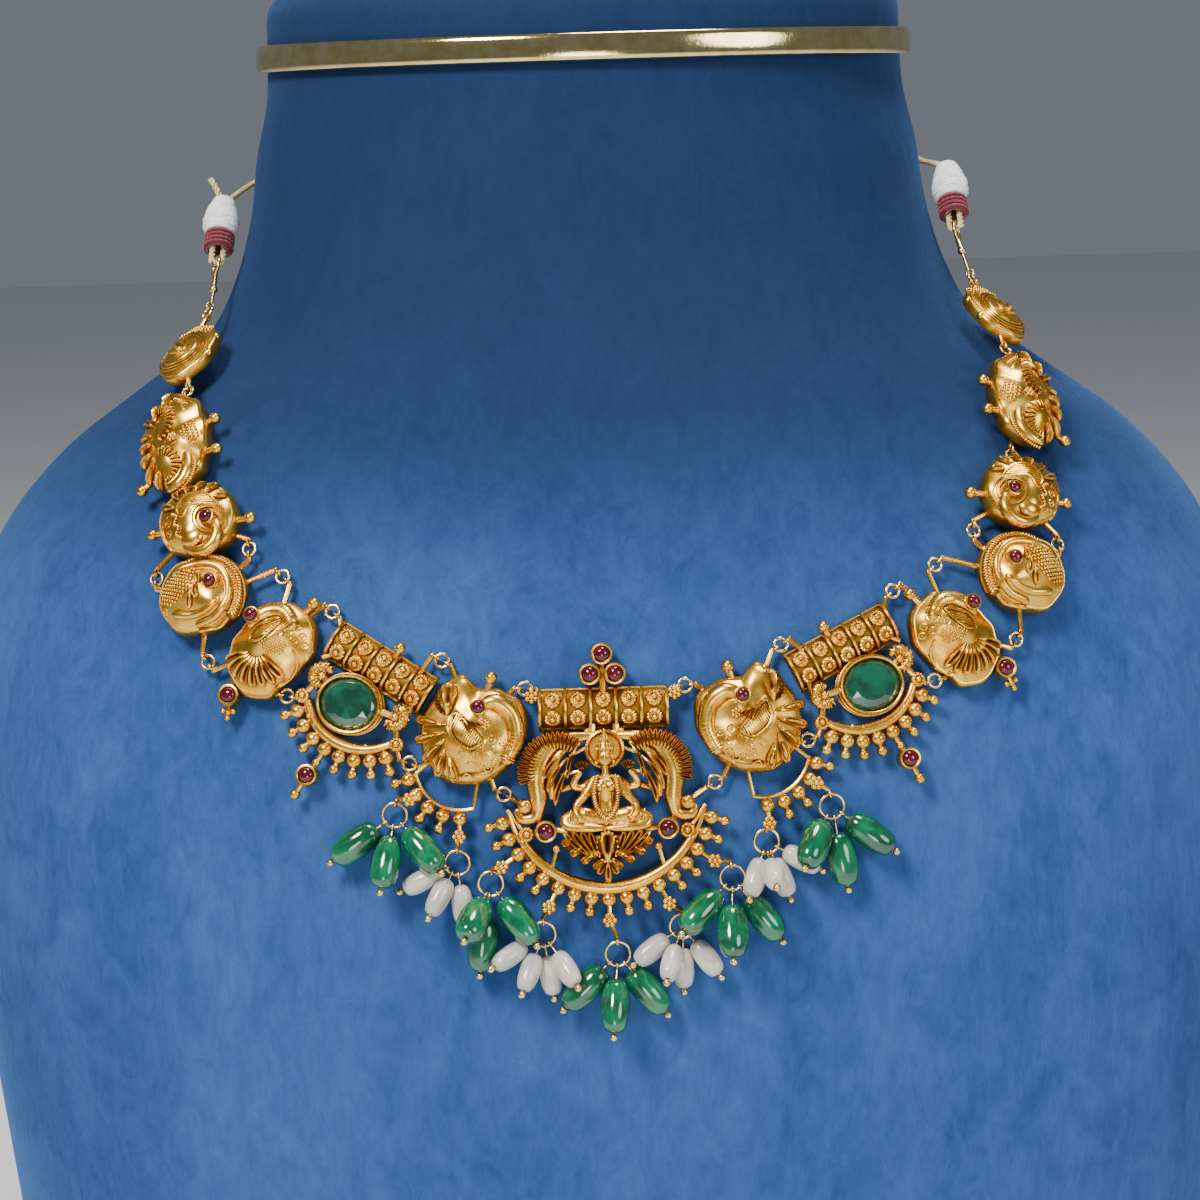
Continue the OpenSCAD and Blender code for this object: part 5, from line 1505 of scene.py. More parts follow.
STAMPS_2 = ((1.7, 6), (3.2, 5.6), (4.6, 4.6), (3.4, 3.6), (5.4, 3), (4.2, 2.2), (6.3, 1.6), (5, 0.8),
            (6.6, 0.1), (2.7, 2))
NECK_2 = ((4.6, 3.4, 4.4), (3, 5.6, 3.8), (0.6, 6, 3.6), (-1.4, 5, 4.1), (-2.6, 3.6, 4.4))
# Fringe of the first peacock: angles, place and reach of the two hangers, centre and radius of its arc
PEACOCK_FRINGE = (196, 214, 232, 250, 268)
PEACOCK_HANGERS = ((1, 2.7), (4, 4.5))
PEACOCK_ARC = (-2.6, -4.9)
PEACOCK_ARC_R = 7.9
# Ruby drop of the second peacock on each side: x, y, turn
DROP = ((-6.9, -8.5, -94), (-8.2, -6.4, -112))
# Radii along a neck
NECK_RADII = (1, 1.3, 1.45, 1.5, 1.5, 1.5, 1.4, 1.2, 0.9)


def bird_neck(shell, neck):
    """A curved neck with fine collars on its lower half."""
    path = through(neck, 6)
    radii = spread(NECK_RADII, len(path))
    shell.tube(path, radii, 18)
    half = path[:len(path) // 2]
    shell.include(ribbed(half, radii[:len(half)].mean() + 0.02, 9))


def peacock_1_shell(side):
    """Plaque beside the pendant: a bird with its head turned back, over a short fringe."""
    s = PEACOCK_1[side]
    dome, local = plaque(PEACOCK_EDGE, 1.4, 3, PEACOCK_BUMPS,
                         ((WING_1 + WING_1[:1], 0.35, 0.3),
                          (((-2.6, -6.9), (-0.2, -6.6), (3, -5.9), (5.6, -4.6)), 0.25, 0.25)))
    bird_neck(local, NECK_1)
    eye_setting(local, 0.9, 4.6, 5.9, 3.6)
    stem_and_ball(local, (1.6, 5.6, 1.6), (2.8, 9.6, 1.7), 0.6, 2.2)
    local.include(netted(dome, WING_1, 0.24, 62, 0.42))
    for k in range(4):
        laid_leaf(local, dome, (-2.5 + 0.9 * k, 3.6 - 0.5 * k), (-0.6 + 0.7 * k, 0.3 + 0.3 * k), 0.9, 0.15,
                  rows=10, across=8, thick=0.55, arch=0.3)
    for root, tip in FEATHERS_1:
        laid_leaf(local, dome, root, tip, 2.3, 0.15, thick=0.9, arch=0.7, groove=0.6)
        low, high = ([r + (t - r) * share for r, t in zip(root, tip)] for share in (0.25, 0.86))
        laid_leaf(local, dome, low, high, 1.0, 0.75, rows=10, across=8, thick=0.5, arch=0.4, groove=0.1)
    laid_leaf(local, dome, (-4.5, 3.4), (-4, 8.9), 3.6, 0.25, thick=1.1, arch=0.8, groove=0.7)
    comb(local, dome, (-4.4, 5.8), 1.5, 2.5, 100, 250, 9, 0.6, 0.3)
    local.include(ring_stamps(dome, STAMPS_1))
    local.include(wires([(dome.lay(((-2.3, -7.4), (-1.5, -6.6), (-0.2, -7.2), (2, -6.9), (3, -6.3)), 0.1),
                          0.18)]))
    local.include(granules(flower_spots((2, 1.6, float(dome.height(2, 1.6)) + 0.2), 0.7), 10))
    local.include(wires([(arc(PEACOCK_ARC, PEACOCK_ARC_R, 189, 285, 24, 1.2), 0.34),
                         rod((-10.2, -6.4, 1.2), (-7.4, -4, 1.2), 0.36),
                         rod((-0.6, -12.4, 1.2), (0.4, -7, 1.4), 0.36)]))
    fringe(local, PEACOCK_ARC, PEACOCK_ARC_R, PEACOCK_FRINGE, dict(PEACOCK_HANGERS), 1.2)
    made = hung(local, s, side, (0, 1), (2, 3))
    for i, (index, reach) in enumerate(PEACOCK_HANGERS):
        made.include(ring_eye(8 - i if side else i, s, side, PEACOCK_ARC, PEACOCK_ARC_R + reach,
                              PEACOCK_FRINGE[index]))
    return made


def peacock_2_shell(side):
    """Second peacock plaque, with a ruby drop soldered to its foot."""
    dome, local = plaque(PEACOCK_2_EDGE, 1.4, 3, PEACOCK_2_BUMPS, ((WING_2 + WING_2[:1], 0.3, 0.3),))
    bird_neck(local, NECK_2)
    eye_setting(local, -2.4, 5, 5.9, 3.6)
    stem_and_ball(local, (5, 5, 1.6), (7.3, 7.6, 1.7), 0.6, 2.2)
    local.include(netted(dome, WING_2, 0.22, 20, 0.4))
    local.include(scales(dome, ((-0.9, -0.2), (0.6, 1.2), (3.4, 1.1), (4.4, -0.2), (3, -1.6), (0.6, -1.7)),
                         30, 0.5, 0.5))
    for a in np.linspace(196, 312, 8):
        c, t = math.cos(math.radians(a)), math.sin(math.radians(a))
        laid_leaf(local, dome, (-1.4 + 1.6 * c, -0.9 + 1.4 * t), (-1.2 + 6.6 * c, -0.8 + 6.5 * t), 2, 0.12,
                  thick=0.8, arch=0.6, groove=0.6)
    local.include(ring_stamps(dome, STAMPS_2, 0.52))
    local.include(wires([(dome.lay(((4.8, -0.8), (5.4, -3), (4.2, -5.4), (1.8, -7)), 0.1), 0.3)]))
    drop = Shell()
    bezel(drop, 0, 0, 0.3, 2.7, RUBY_SEAT_R)
    drop.include(wires([rod((-4, 0, 0.9), (-1.2, 0, 0.9), 0.6), rod((1.4, 0, 1.2), (2.8, 0, 1.2), 0.5)]))
    drop.include(granules([((x, y, 1.2), 1.1) for x, y in ((3, 0), (2.7, -0.9), (2.7, 0.9), (3.9, 0))]))
    local.include(drop, turned("Z", DROP[side][2], (DROP[side][0], DROP[side][1], 0)))
    return hung(local, PEACOCK_2[side], side, (4, 5), (6, 7))


# Fringe of an emerald setting: angles, centre of its arc; and the turn of the oval wall
EMERALD_FRINGE = [229 + 12.8 * i for i in range(8)]
EMERALD_ARC = (0.9, 3.6)
EMERALD_TURN = 14


def scroll(shell, centre, start, stop, foot):
    """Ribbed scroll with a small ball inside it."""
    path = arc(centre, 1.6, start, stop, 24, 2)
    swell = spread((0.5, 0.8, 0.9, 0.9, 0.9, 0.9, 0.9, 0.8, 0.5), 25)
    shell.tube(path, swell * 0.92, 14).include(ribbed(path, 0.92, 14, 0.14))
    shell.oval((*centre, 2.2), (0.8, 0.8, 0.8))
    side = math.copysign(5.4, centre[0])
    shell.include(wires([rod((*centre, 1.8), (side, centre[1] * 0.8, 1.8), 0.7),
                         rod((*centre, 1.8), (*foot, 1.6), 0.6)]))


def emerald_setting_shell(side, size):
    """Oval wall between two scrolls, under a rosette bar and over a crescent, a fringe and a ruby drop."""
    s = EMERALD[side]
    local, n = Shell(), 72
    t = around(n)
    rows = ((1.28, 0), (1.3, 0.1), (1.3, 2.9), (1.16, 3.3), (0.9, 3.5), (0.5, 3.46), (0.2, 3.3),
            (0.14, 3.0), (0.14, 1.2))
    rings = [np.stack([(size[0] + w) / 2 * np.cos(t), (size[1] + w) / 2 * np.sin(t), np.full(n, z)], -1)
             for w, z in rows]
    oval_wall = Shell().rings(rings, (0, 0, 0), (0, 0, 1.2))
    lines = []
    for z, w in ((0.5, 1.5), (2.2, 1.45)):
        lines.append((np.stack([(size[0] + w) / 2 * np.cos(t), (size[1] + w) / 2 * np.sin(t),
                                np.full(n, z)], -1), 0.17, True))
    oval_wall.include(wires(lines))
    local.include(oval_wall, turned("Z", EMERALD_TURN))
    rosette_bar(local, 1.1, 8, 19.4)
    stem_and_ball(local, (2.3, 10.6, 1.2), (2.4, 12.6, 1.6), 0.5, 2)
    crescent(local, EMERALD_ARC, 10.4, 215, 331, 2.1, 1.3, 1.4)
    fringe(local, EMERALD_ARC, 10.9, EMERALD_FRINGE[:3], {}, 1.4)
    fringe(local, EMERALD_ARC, 10.9, EMERALD_FRINGE[4:], {}, 1.4)
    scroll(local, (-6.6, 1.6), 60, 300, (-7.8, -3))
    scroll(local, (8, 2.2), -120, 120, (10.6, -1.6))
    for x, y in ((-7.8, -3), (10.6, -1.6)):
        local.tube([(x, y, 0.8), (x, y, 1.7)], 1.1, 20)
        local.include(rosette_shape(1.32, 12), shifted(x, y, 1.7))
    local.include(wires([rod((-8.4, 4.2, 1.2), (-6.6, 6.4, 1.2), 0.5),
                         rod((9.4, 4, 1.2), (9.2, 6, 1.2), 0.5)]))
    local.include(granules([((-5, -5.4, 2), 0.9), ((-3.4, -6, 2), 0.9), ((6.2, -4.6, 2), 0.9),
                            ((4.6, -5.6, 2), 0.9)]))
    drop = Shell().include(spike_shape(False))
    drop.include(wires([rod((-0.5, 0, 0), (5.5, 0, 0), 0.5), rod((8.5, 0, 0), (10.2, 0, 0), 0.5)]))
    bezel(drop, 6.8, 0, -0.8, 1.6, RUBY_SEAT_R)
    drop.include(granules([((10.7, 0, 0), 1.9), ((4.2, 0, 0), 1.5)]))
    local.include(drop, shifted(*EMERALD_ARC, 1.4) @ turned("Z", EMERALD_FRINGE[3]) @ shifted(10.9, 0, 0))
    made = Shell().include(local, place_matrix(s, side))
    made.include(joint_eyes(side, [2, 3], s, 1, ((7.6, 10.4, 1.3), (10.6, -2, 1.2))))
    return made.include(joint_eyes(side, [4, 5], s, -1, ((-7.4, 8.8, 1.2), (-8, -3, 1.2))))


def emerald_shell(side, size):
    """Cut oval: table, two rows of crown facets, girdle and pavilion."""
    rows, n = ((0.3, 0), (0.72, 0.35), (1, 1), (1, 1.3), (0.84, 1.85), (0.6, 2.3)), 16
    rings = []
    for i, (share, z) in enumerate(rows):
        t = np.radians((np.arange(n) + 0.5 * (i % 2)) * 360 / n)
        rings.append(np.stack([(size[0] * share - 0.04) / 2 * np.cos(t), (size[1] * share - 0.04) / 2
                               * np.sin(t), np.full(n, z)], -1))
    points = np.concatenate(rings)
    faces = []
    for i in range(len(rows) - 1):
        for j in range(n):
            a, b, c, d = i * n + j, i * n + (j + 1) % n, (i + 1) * n + j, (i + 1) * n + (j + 1) % n
            faces += [(a, b, c), (b, d, c)] if i % 2 == 0 else [(a, d, c), (a, b, d)]
    local = Shell().add(points, [np.array(faces), np.arange(n)[None, ::-1],
                                 (np.arange(n) + (len(rows) - 1) * n)[None]])
    home = place_matrix(EMERALD[side], side) @ turned("Z", EMERALD_TURN, (0, 0, 1.27))
    return Shell().include(local, home)


def crested_shell(side):
    """Plaque with a roped crest over a curled body."""
    dome, local = plaque(CRESTED_EDGE, 1.8, 4.2, CRESTED_BUMPS)
    crest = arc((0, 0), 6.4, 24, 176, 40, 3.3)
    # The tube under the ropes is painted fully dark: painted shade between them.
    local.tube(crest, 1.0, 12, hollow=1.0)
    for r, way in ((6.0, 1), (6.85, -1)):
        local.include(rope(arc((0, 0), r, 24, 176, 60, 4.05), 0.52, (0.5, 1.25, 0.8), 0.6 * way))
    local.include(wires([(arc((0, 0), 7.4, 26, 174, 50, 3.3), 0.24),
                         (arc((0, 0), 5.5, 26, 174, 50, 4.4), 0.2)]))
    eye_setting(local, -0.4, 3, 6.6, 4)
    ridge = dome.lay(((-6, -1.6), (-5, 2), (-2.6, 4.9), (1, 5.2), (3.8, 3.2), (4.8, 0.2), (4.2, -3)), 0.05,
                     6)
    local.tube(ridge, 0.75, 16)
    local.tube(dome.lay(((3.2, 2.2), (3.4, -0.4), (2.4, -3.2), (0.6, -5.4)), 0.1, 6),
               np.linspace(0.6, 0.85, 19), 14)
    local.tube(dome.lay(((5.6, 2), (5.9, -0.8), (4.8, -3.6)), 0.0, 6), 0.5, 12)
    local.include(scales(dome, ((-5.8, -2.4), (-4.4, 1.6), (-2.4, 1.4), (-0.8, -1.4), (-1, -5.4),
                                (-3.4, -7), (-5.6, -6)), 40, 0.62, 0.66))
    for root, tip in (((-3.6, 2.4), (-1.2, 1.2)), ((-2, 1.2), (0.9, -0.6)), ((-0.6, -0.4), (1.4, -2.8))):
        laid_leaf(local, dome, root, tip, 1.5, 0.2, rows=12, across=10, thick=0.7)
    local.include(ring_stamps(dome, ((-3.6, -7), (-1.6, -7.3)), 0.55))
    return hung(local, CRESTED[side], side, (6, 7), (8, 9))


def paisley_shell(side):
    """Plaque with a netted paisley, a thick scroll round the ruby and a ball at each end."""
    dome, local = plaque(PAISLEY_EDGE, 1.8, 3.6, PAISLEY_BUMPS)
    path = arc((3, 0.4), 3.2, -70, 130, 32, 4.4)
    local.tube(path, spread((0.7, 0.9, 1.1, 1.2, 1.2, 1.2, 1.1, 1, 0.7), 33), 16)
    eye_setting(local, 1.4, 3, 6.2, 3.4)
    local.include(wires([(dome.circle(1.4, 3, 2.3, 0.3, 28), 0.3, True),
                         (dome.circle(1.4, 3, 2.9, 0.15, 30), 0.18, True)]))
    stem_and_ball(local, (2, 6, 1.6), (3, 9, 1.7), 0.6, 2.2)
    stem_and_ball(local, (-2, -6, 1.6), (-2.8, -8.8, 1.7), 0.6, 2)
    comma = ((-0.8, 5), (-3.8, 3.6), (-4.6, 0.6), (-3, -1.8), (-0.8, -1.2), (-2, 1), (-1.6, 3))
    local.include(netted(dome, comma, 0.26, 75, 0.42))
    for root, tip in (((-3.8, 3.8), (-5.4, 6)), ((-4.6, 2.4), (-7.2, 3.8)), ((-4.8, 0.8), (-7.4, 0.8)),
                      ((-4.2, -0.8), (-7, -2.2)), ((-3.2, -2), (-5.6, -5)), ((-2.2, 4.8), (-2.6, 7))):
        laid_leaf(local, dome, root, tip, 1.9, 0.12, thick=0.8, arch=0.5, groove=0.5)
    zigzag = dome.lay(((-2.4, -3), (-1.4, -2.2), (-0.4, -3.2), (0.6, -2.4), (1.6, -3.4), (2.6, -2.8)), 0.25,
                      3)
    local.include(granules([(p, 0.6) for p in zigzag], 10))
    local.include(ring_stamps(dome, ((-1.6, -4.6), (0.2, -5), (2, -5)), 0.6))
    local.include(wires([(dome.lay(((-3, -4), (-2, -6), (0, -6.4), (2.4, -6)), 0.1), 0.2)]))
    local.oval((3, -1, 4.8), (1.9, 2.2, 1.1))
    return hung(local, PAISLEY[side], side, (8, 9), (10,))


def leaf_shell(side):
    """Plaque with two roped arches over combs and a skirt of leaves."""
    dome, local = plaque(LEAF_EDGE, 1.8, 2.6, LEAF_BUMPS)
    radii = spread((0.7, 1, 1.1, 1.2, 1.2, 1.2, 1.1, 1, 0.7), 33)
    for centre, r, a, b, z in (((-4.6, -2.4), 5, 20, 160, 3.4), ((5.4, -2), 4.6, 10, 165, 3.2)):
        local.tube(arc(centre, r, a, b, 32, z), radii, 16)
        local.include(rope(arc(centre, r + 1.35, a, b, 60, z - 0.1), 0.45, (0.4, 0.9, 0.7), 0.5))
        comb(local, dome, centre, r - 2.6, r - 0.7, a - 8, b + 8, 13, 0.85, 0.15)
        local.include(wires([(arc(centre, r - 0.95, a, b, 40, z + 0.75), 0.14)]))
    for root, tip in (((-6, -3), (-9.6, -2.2)), ((-5, -3.4), (-7.6, -5.4)), ((-3, -4), (-4.4, -6.8)),
                      ((-1, -4), (-0.8, -6.8)), ((1.4, -4), (2.4, -6.8)), ((4.4, -3.4), (6, -6.2)),
                      ((6, -2.4), (8.2, -4)), ((-7.6, -1), (-11.4, 0.6))):
        laid_leaf(local, dome, root, tip, 2.1, 0.15, thick=0.9, arch=0.5, groove=0.5)
    for x, y, foot in ((-3.4, 7.8, (-3, 5, 1.6)), (3.6, 7.6, (3.2, 5, 1.6)), (6.2, -7.8, (5, -5.4, 1.6))):
        stem_and_ball(local, foot, (x, y, 1.6), 0.6, 2.1)
    local.include(scales(dome, ((-3, 4.8), (-1.4, 2.6), (1.4, 2.6), (2.8, 4.6), (0, 5.8)), 10, 0.6, 0.62))
    local.include(granules(flower_spots((0.2, 0.8, float(dome.height(0.2, 0.8)) + 0.3), 0.8), 10))
    return hung(local, LEAF[side], side, (10,), (11,))


def end_shell(side):
    """Last plaque: ridges round a leaf, with a field of granules beside them."""
    dome, local = plaque(END_EDGE, 1.4, 1.8, END_BUMPS, spokes=160, rings=36)
    local.tube(arc((1, -0.2), 2.9, -60, 200, 36, 2.6), 0.72, 14)
    for r, w in ((1.9, 0.3), (3.9, 0.26), (4.6, 0.22), (5.2, 0.16)):
        local.include(wires([(dome.lay(arc((1, -0.2), r, -70, 190, 24), 0.1, 1), w)]))
    local.include(scales(dome, ((-6.8, -2.6), (-6.4, 3), (-4.2, 4), (-3.8, 0), (-4.2, -4)), 80, 0.6, 0.66))
    laid_leaf(local, dome, (-0.6, -1.6), (2.6, 1.4), 2.2, 0.2, thick=0.8)
    for x, y in ((-3, 5), (1.6, 5.4)):
        local.oval((x, y, 1.2), (0.9, 0.9, 0.9))
    return hung(local, END_PAISLEY[side], side, (11,), (12,))


# Fringe of the pendant: centre and angles; and the middles of the three rubies on top
FRINGE_CENTRE = (0, -5.45)
FRINGE = [270 + 9.2 * k for k in range(-8, 9)]
TRIO = ((0, 17.5, 0.2), (-2.15, 14.1, 0.2), (2.15, 14.1, 0.2))


def figure_shell():
    """Seated four-armed figure with crown, garland and crossed legs, and the ornaments on it."""
    clay = Shell()
    clay.tube(through(((0, -10.6, 2.8), (0, -9, 3), (0, -7.2, 3.1), (0, -5.2, 3.3), (0, -4, 3.2),
                       (0, -3.1, 3)), 4), spread((2.1, 1.75, 1.4, 1.75, 2.05, 1.1), 21), 20, flat=0.7)
    clay.tube([(0, -3.3, 3.2), (0, -1.5, 3.4)], 0.66, 14)
    clay.oval((0, 0.2, 3.5), (1.35, 1.75, 1.25))
    clay.oval((0, -1.05, 4.1), (0.55, 0.4, 0.4))
    clay.tube([(0, 0.75, 4.62), (0, 0.3, 4.75), (0, 0.02, 4.88)], [0.14, 0.15, 0.22], 8)
    clay.oval((0, -0.52, 4.55), (0.36, 0.13, 0.18))
    clay.tube([(0, 1.5, 3.3), (0, 2.4, 3.3), (0, 3.2, 3.2), (0, 4.4, 3.1)], [1.4, 1.15, 0.8, 0.25], 18)
    for s in (-1, 1):
        clay.oval((s * 0.9, -4.9, 4.3), (0.9, 0.85, 0.6))
        clay.oval((s * 0.52, 0.42, 4.5), (0.36, 0.17, 0.2))
        clay.oval((s * 1.35, 0.1, 3.3), (0.22, 0.5, 0.35))
        clay.tube(through(((s * 0.6, -10.4, 3.4), (s * 3.6, -9.7, 3.8), (s * 6.4, -10.3, 3.4),
                           (s * 6.2, -11.2, 3.9), (s * 3.4, -11.6, 4.3), (s * 0.3, -11.8, 4.4)), 4),
                  spread((1.3, 1.55, 1.4, 1.15, 1, 0.6), 21), 18, flat=0.75)
        clay.tube(through(((s * 2, -3.8, 3.2), (s * 3.3, -6, 3.6), (s * 4.9, -7.8, 3.8), (s * 5.1, -9, 4.6),
                           (s * 4.6, -9.9, 5)), 4), spread((0.9, 0.8, 0.7, 0.55, 0.5), 17), 14)
        clay.oval((s * 4.4, -10.2, 5.1), (0.75, 0.5, 0.35))
        clay.tube(through(((s * 2.1, -3.7, 2.9), (s * 3.9, -5, 2.8), (s * 5.4, -4.6, 3), (s * 5, -3.4, 3.3),
                           (s * 4.3, -2.5, 3.5)), 4), spread((0.85, 0.78, 0.66, 0.55, 0.5), 17), 14)
        clay.tube([(s * 5.4, -4.6, 2.6), (s * 7.4, -5.2, 2), (s * 9.6, -5.4, 1.8)], [0.7, 0.6, 0.6], 12)
    made = fused(clay)
    made.include(rope(through(((-1.5, -3.1, 4.3), (-2, -5.6, 4.9), (-1.6, -8.4, 4.5), (0, -10.4, 4.9),
                               (1.6, -8.4, 4.5), (2, -5.6, 4.9), (1.5, -3.1, 4.3)), 6), 0.42,
                      (0.45, 0.95, 0.8), 0.4))
    spots = [((1.2 * math.sin(a), -2.9 - 0.5 * math.cos(a), 4.0 + 0.25 * math.cos(a)), 0.42)
             for a in np.linspace(-1.3, 1.3, 8)]
    for y, r, d in ((1.45, 1.35, 0.5), (2.3, 1.12, 0.45), (3.1, 0.8, 0.4)):
        spots += [((r * math.sin(a), y, 3.3 + r * math.cos(a)), d) for a in np.linspace(-1.3, 1.3, 7)]
    spots += [((s * 1.5, -0.85, 3.5), 0.75) for s in (-1, 1)] + [((0, 4.6, 3.1), 0.6)]
    spots += [((1.7 * math.sin(a), -8.9, 3.2 + 1.25 * math.cos(a)), 0.42)
              for a in np.linspace(-1.3, 1.3, 9)]
    made.include(granules(spots, 10))
    lines = []
    for s in (-1, 1):
        for x in (1.8, 2.9, 4.0, 5.1, 6.2):
            t = np.radians(np.linspace(-70, 80, 9))
            lines.append((np.stack([np.full(9, s * x) + 0.25 * np.sin(t), -10 + 1.45 * np.sin(t),
                                    3.7 + 1.15 * np.cos(t)], -1), 0.09))
        for p, a in (((4.95, -8.4, 4.2), 0.62), ((3.2, -5.9, 3.55), 0.86), ((4.7, -2.9, 3.4), 0.6)):
            t = around(14)
            lines.append((np.stack([s * p[0] + a * np.cos(t), np.full(14, p[1]), p[2] + a * np.sin(t)], -1),
                          0.12, True))
        lines.append((arc((s * 0.52, 0.55), 0.4, 30, 150, 8, 4.56), 0.05))
    made.include(wires(lines, sides=6))
    for s in (-1, 1):
        bud = (s * 3.9, -1.9)
        for a in (-50, -25, 0, 25, 50):
            t = math.radians(90 + a)
            made.leaf(bud, (bud[0] + 1.5 * math.cos(t), bud[1] + 1.5 * math.sin(t)), 0.75, 3.7, 3.9, rows=8,
                      across=8, thick=0.45, arch=0.2)
    return made


def lotus_shell():
    """Open lotus seat: a back row of tall petals, a great front petal, a lower row and a drooping tip."""
    made = Shell()
    # The seat behind the petals is painted fully dark: painted shade.
    made.oval((0, -14.4, 2.2), (7.4, 2.9, 2.0), hollow=1.0)
    for s in (-1, 1):
        for x, y, w in ((7.3, -12.4, 1.5), (5.9, -12.1, 1.6), (4.4, -12.1, 1.6), (2.9, -12.3, 1.6)):
            made.leaf((s * x * 0.3, -16.9), (s * x, y), w, 3.2, 3.9, bend=-s * 0.6, thick=0.9, arch=0.8,
                      groove=0.6)
        for i, (x, y) in enumerate(((7.6, -14.6), (6.3, -16.3), (4.5, -17.6), (2.5, -18.6))):
            made.leaf((s * (x - 2.3), y + 1.7), (s * x, y), 2.1, 3.9, 2.4, thick=1, arch=0.8, groove=0.6,
                      rows=14)
            made.leaf((s * (x - 1.7), y + 1.25), (s * (x - 0.4), y + 0.3), 0.9, 4.5, 3.3, thick=0.5,
                      arch=0.5, groove=0.2, rows=10, across=8)
        made.leaf((s * 0.5, -17.3), (s * 1.7, -19.6), 1.6, 3.4, 2.6, bend=-s * 0.3, thick=0.8, arch=0.5)
    made.leaf((0, -17.6), (0, -12.3), 3.6, 4.0, 5.1, thick=1.2, arch=0.7, groove=1, rows=24, across=16)
    made.leaf((0, -17.2), (0, -20.9), 1.8, 3.6, 2.2, thick=0.9, arch=0.6)
    beads = [((s * 1.75 * math.sin(a), -15 - 2.4 * math.cos(a) * (1 if math.cos(a) > 0 else 1.12), 5.35),
              0.42) for s in (-1, 1) for a in np.linspace(0.25, 2.95, 9)]
    return made.include(granules(beads, 10))


def plume_shell():
    """Arching plume of the left side: a comb of looped ribs, a smooth arch and hanging leaves."""
    made = Shell()
    path = through(((-1.6, 3.6, 2), (-5.6, 3.4, 2.2), (-9.6, 1.8, 2.4), (-11.6, -2.4, 2.4),
                    (-11.4, -7, 2.2), (-12, -9.6, 2), (-14.2, -10, 2), (-15, -8.6, 2)), 6)
    radii = spread((0.6, 0.8, 1.1, 1.3, 1.5, 1.6, 1.7, 1.6, 1.5, 1.2, 1.1, 0.9, 0.8, 0.7, 0.6), len(path))
    made.tube(path, radii, 18, flat=0.8)
    inner = through(((-4.4, 2.4, 2.4), (-7.6, 0.8, 2.8), (-9, -2.6, 2.9), (-9, -6.4, 2.6)), 8)
    made.tube(inner, spread((0.4, 0.75, 0.85, 0.6), len(inner)), 16)
    for i in range(19):
        a = math.radians(58 + i * 7.6)
        c, s = math.cos(a), math.sin(a)
        made.leaf((-8 + 3.9 * c, -2.2 + 3.9 * s), (-8 + 7 * c, -2.2 + 7 * s), 1.05, 3.6, 2.2, thick=0.8,
                  arch=0.7, groove=0.5, rows=14, across=10)
    for root, tip, w in (((-6.6, 1.2), (-10.4, -3.4), 1.5), ((-6.2, 0.2), (-9.8, -5.6), 1.5),
                         ((-5.6, -0.8), (-8.6, -7.8), 1.5), ((-4.4, 2.2), (-6.4, -3.4), 1.2)):
        made.leaf(root, tip, w, 2.9, 2.8, bend=-1.1, thick=0.8, arch=0.7, groove=0.5, rows=14)
    made.include(wires([rod((-4.4, -2.2, 3), (-7.6, -2.8, 2.6), 0.32),
                        rod((-3.3, 1.6, 2.2), (-6, 0.4, 2.6), 0.3)]))
    made.include(granules([((-13.8, -7.8, 2.4), 2.5), ((-2.9, 4.4, 2), 1.2)], 20))
    return made


def pendant_shell():
    """Centre pendant: ruby trio, rosette bar, halo, figure, lotus, plumes, crescent and fringe."""
    local = Shell()
    for x, y, z in TRIO:
        bezel(local, x, y, z, z + 2.6, RUBY_SEAT_R)
    local.tube([(0, 10, 1), (0, 16, 1)], 0.7, 12)
    rosette_bar(local, 0, 8.3, 22)
    halo = [(0, 1.2), (2.9, 1.2), (3.4, 1.45), (3.45, 2.2), (3.3, 2.75), (2.95, 2.85), (2.6, 2.6),
            (2.5, 2.3), (1, 2.35), (0, 2.35)]
    local.lathe(halo, 144, (0, 1.4, 0), (48, 0.12, [0, 0.2, 1, 1, 0.6, 0, 0, 0]))
    local.include(figure_shell()).include(lotus_shell())
    half = plume_shell()
    bezel(half, -10.3, -12.2, 0.8, 3.4, RUBY_SEAT_R)
    half.include(wires([rod((-8.6, -12, 1.8), (-6, -12.4, 2.2), 0.5),
                        rod((-11.6, -10.6, 1.7), (-11.2, -8.4, 2), 0.6),
                        rod((-8.6, -15.2, 1.9), (-9.6, -18.8, 1.6), 0.4),
                        rod((-13.6, -13, 1.4), (-16.8, -8.4, 1.4), 0.4),
                        rod((-2, 5.6, 1.3), (-2.1, 3.2, 1.6), 0.7),
                        (arc(FRINGE_CENTRE, 16.9, 192, 213, 12, 1.4), 0.45)]))
    half.tube([(-13.6, -12.6, 0.5), (-13.6, -12.6, 1.6)], 1.15, 20)
    half.include(rosette_shape(1.36, 12), shifted(-13.6, -12.6, 1.7))
    half.include(granules([((-8.6, -15.2, 2), 1.5)] + flower_spots((-12.1, 10.6, 1.6))))
    for way in (1, -1):
        local.include(half, np.diag([way, 1.0, 1.0, 1.0]))
    crescent(local, FRINGE_CENTRE, 16.6, 211, 329, 2.4, 1.5, 1.4)
    local.include(wires([rod((0, -20.8, 1.5), (0, -22, 1.5), 0.7)]))
    fringe(local, FRINGE_CENTRE, 17, FRINGE, {i: 5 for i in (2, 5, 8, 11, 14)}, 1.4)
    made = Shell().include(local, place_matrix(PENDANT))
    for side in (0, 1):
        made.include(joint_eyes(side, [0, 1], PENDANT, -1, ((-10.4, 10.4, 1.4), (-14, -7.6, 2))))
    for k in range(2, 7):
        made.include(ring_eye(k, PENDANT, 0, FRINGE_CENTRE, 22, FRINGE[3 * k - 4]))
    return made


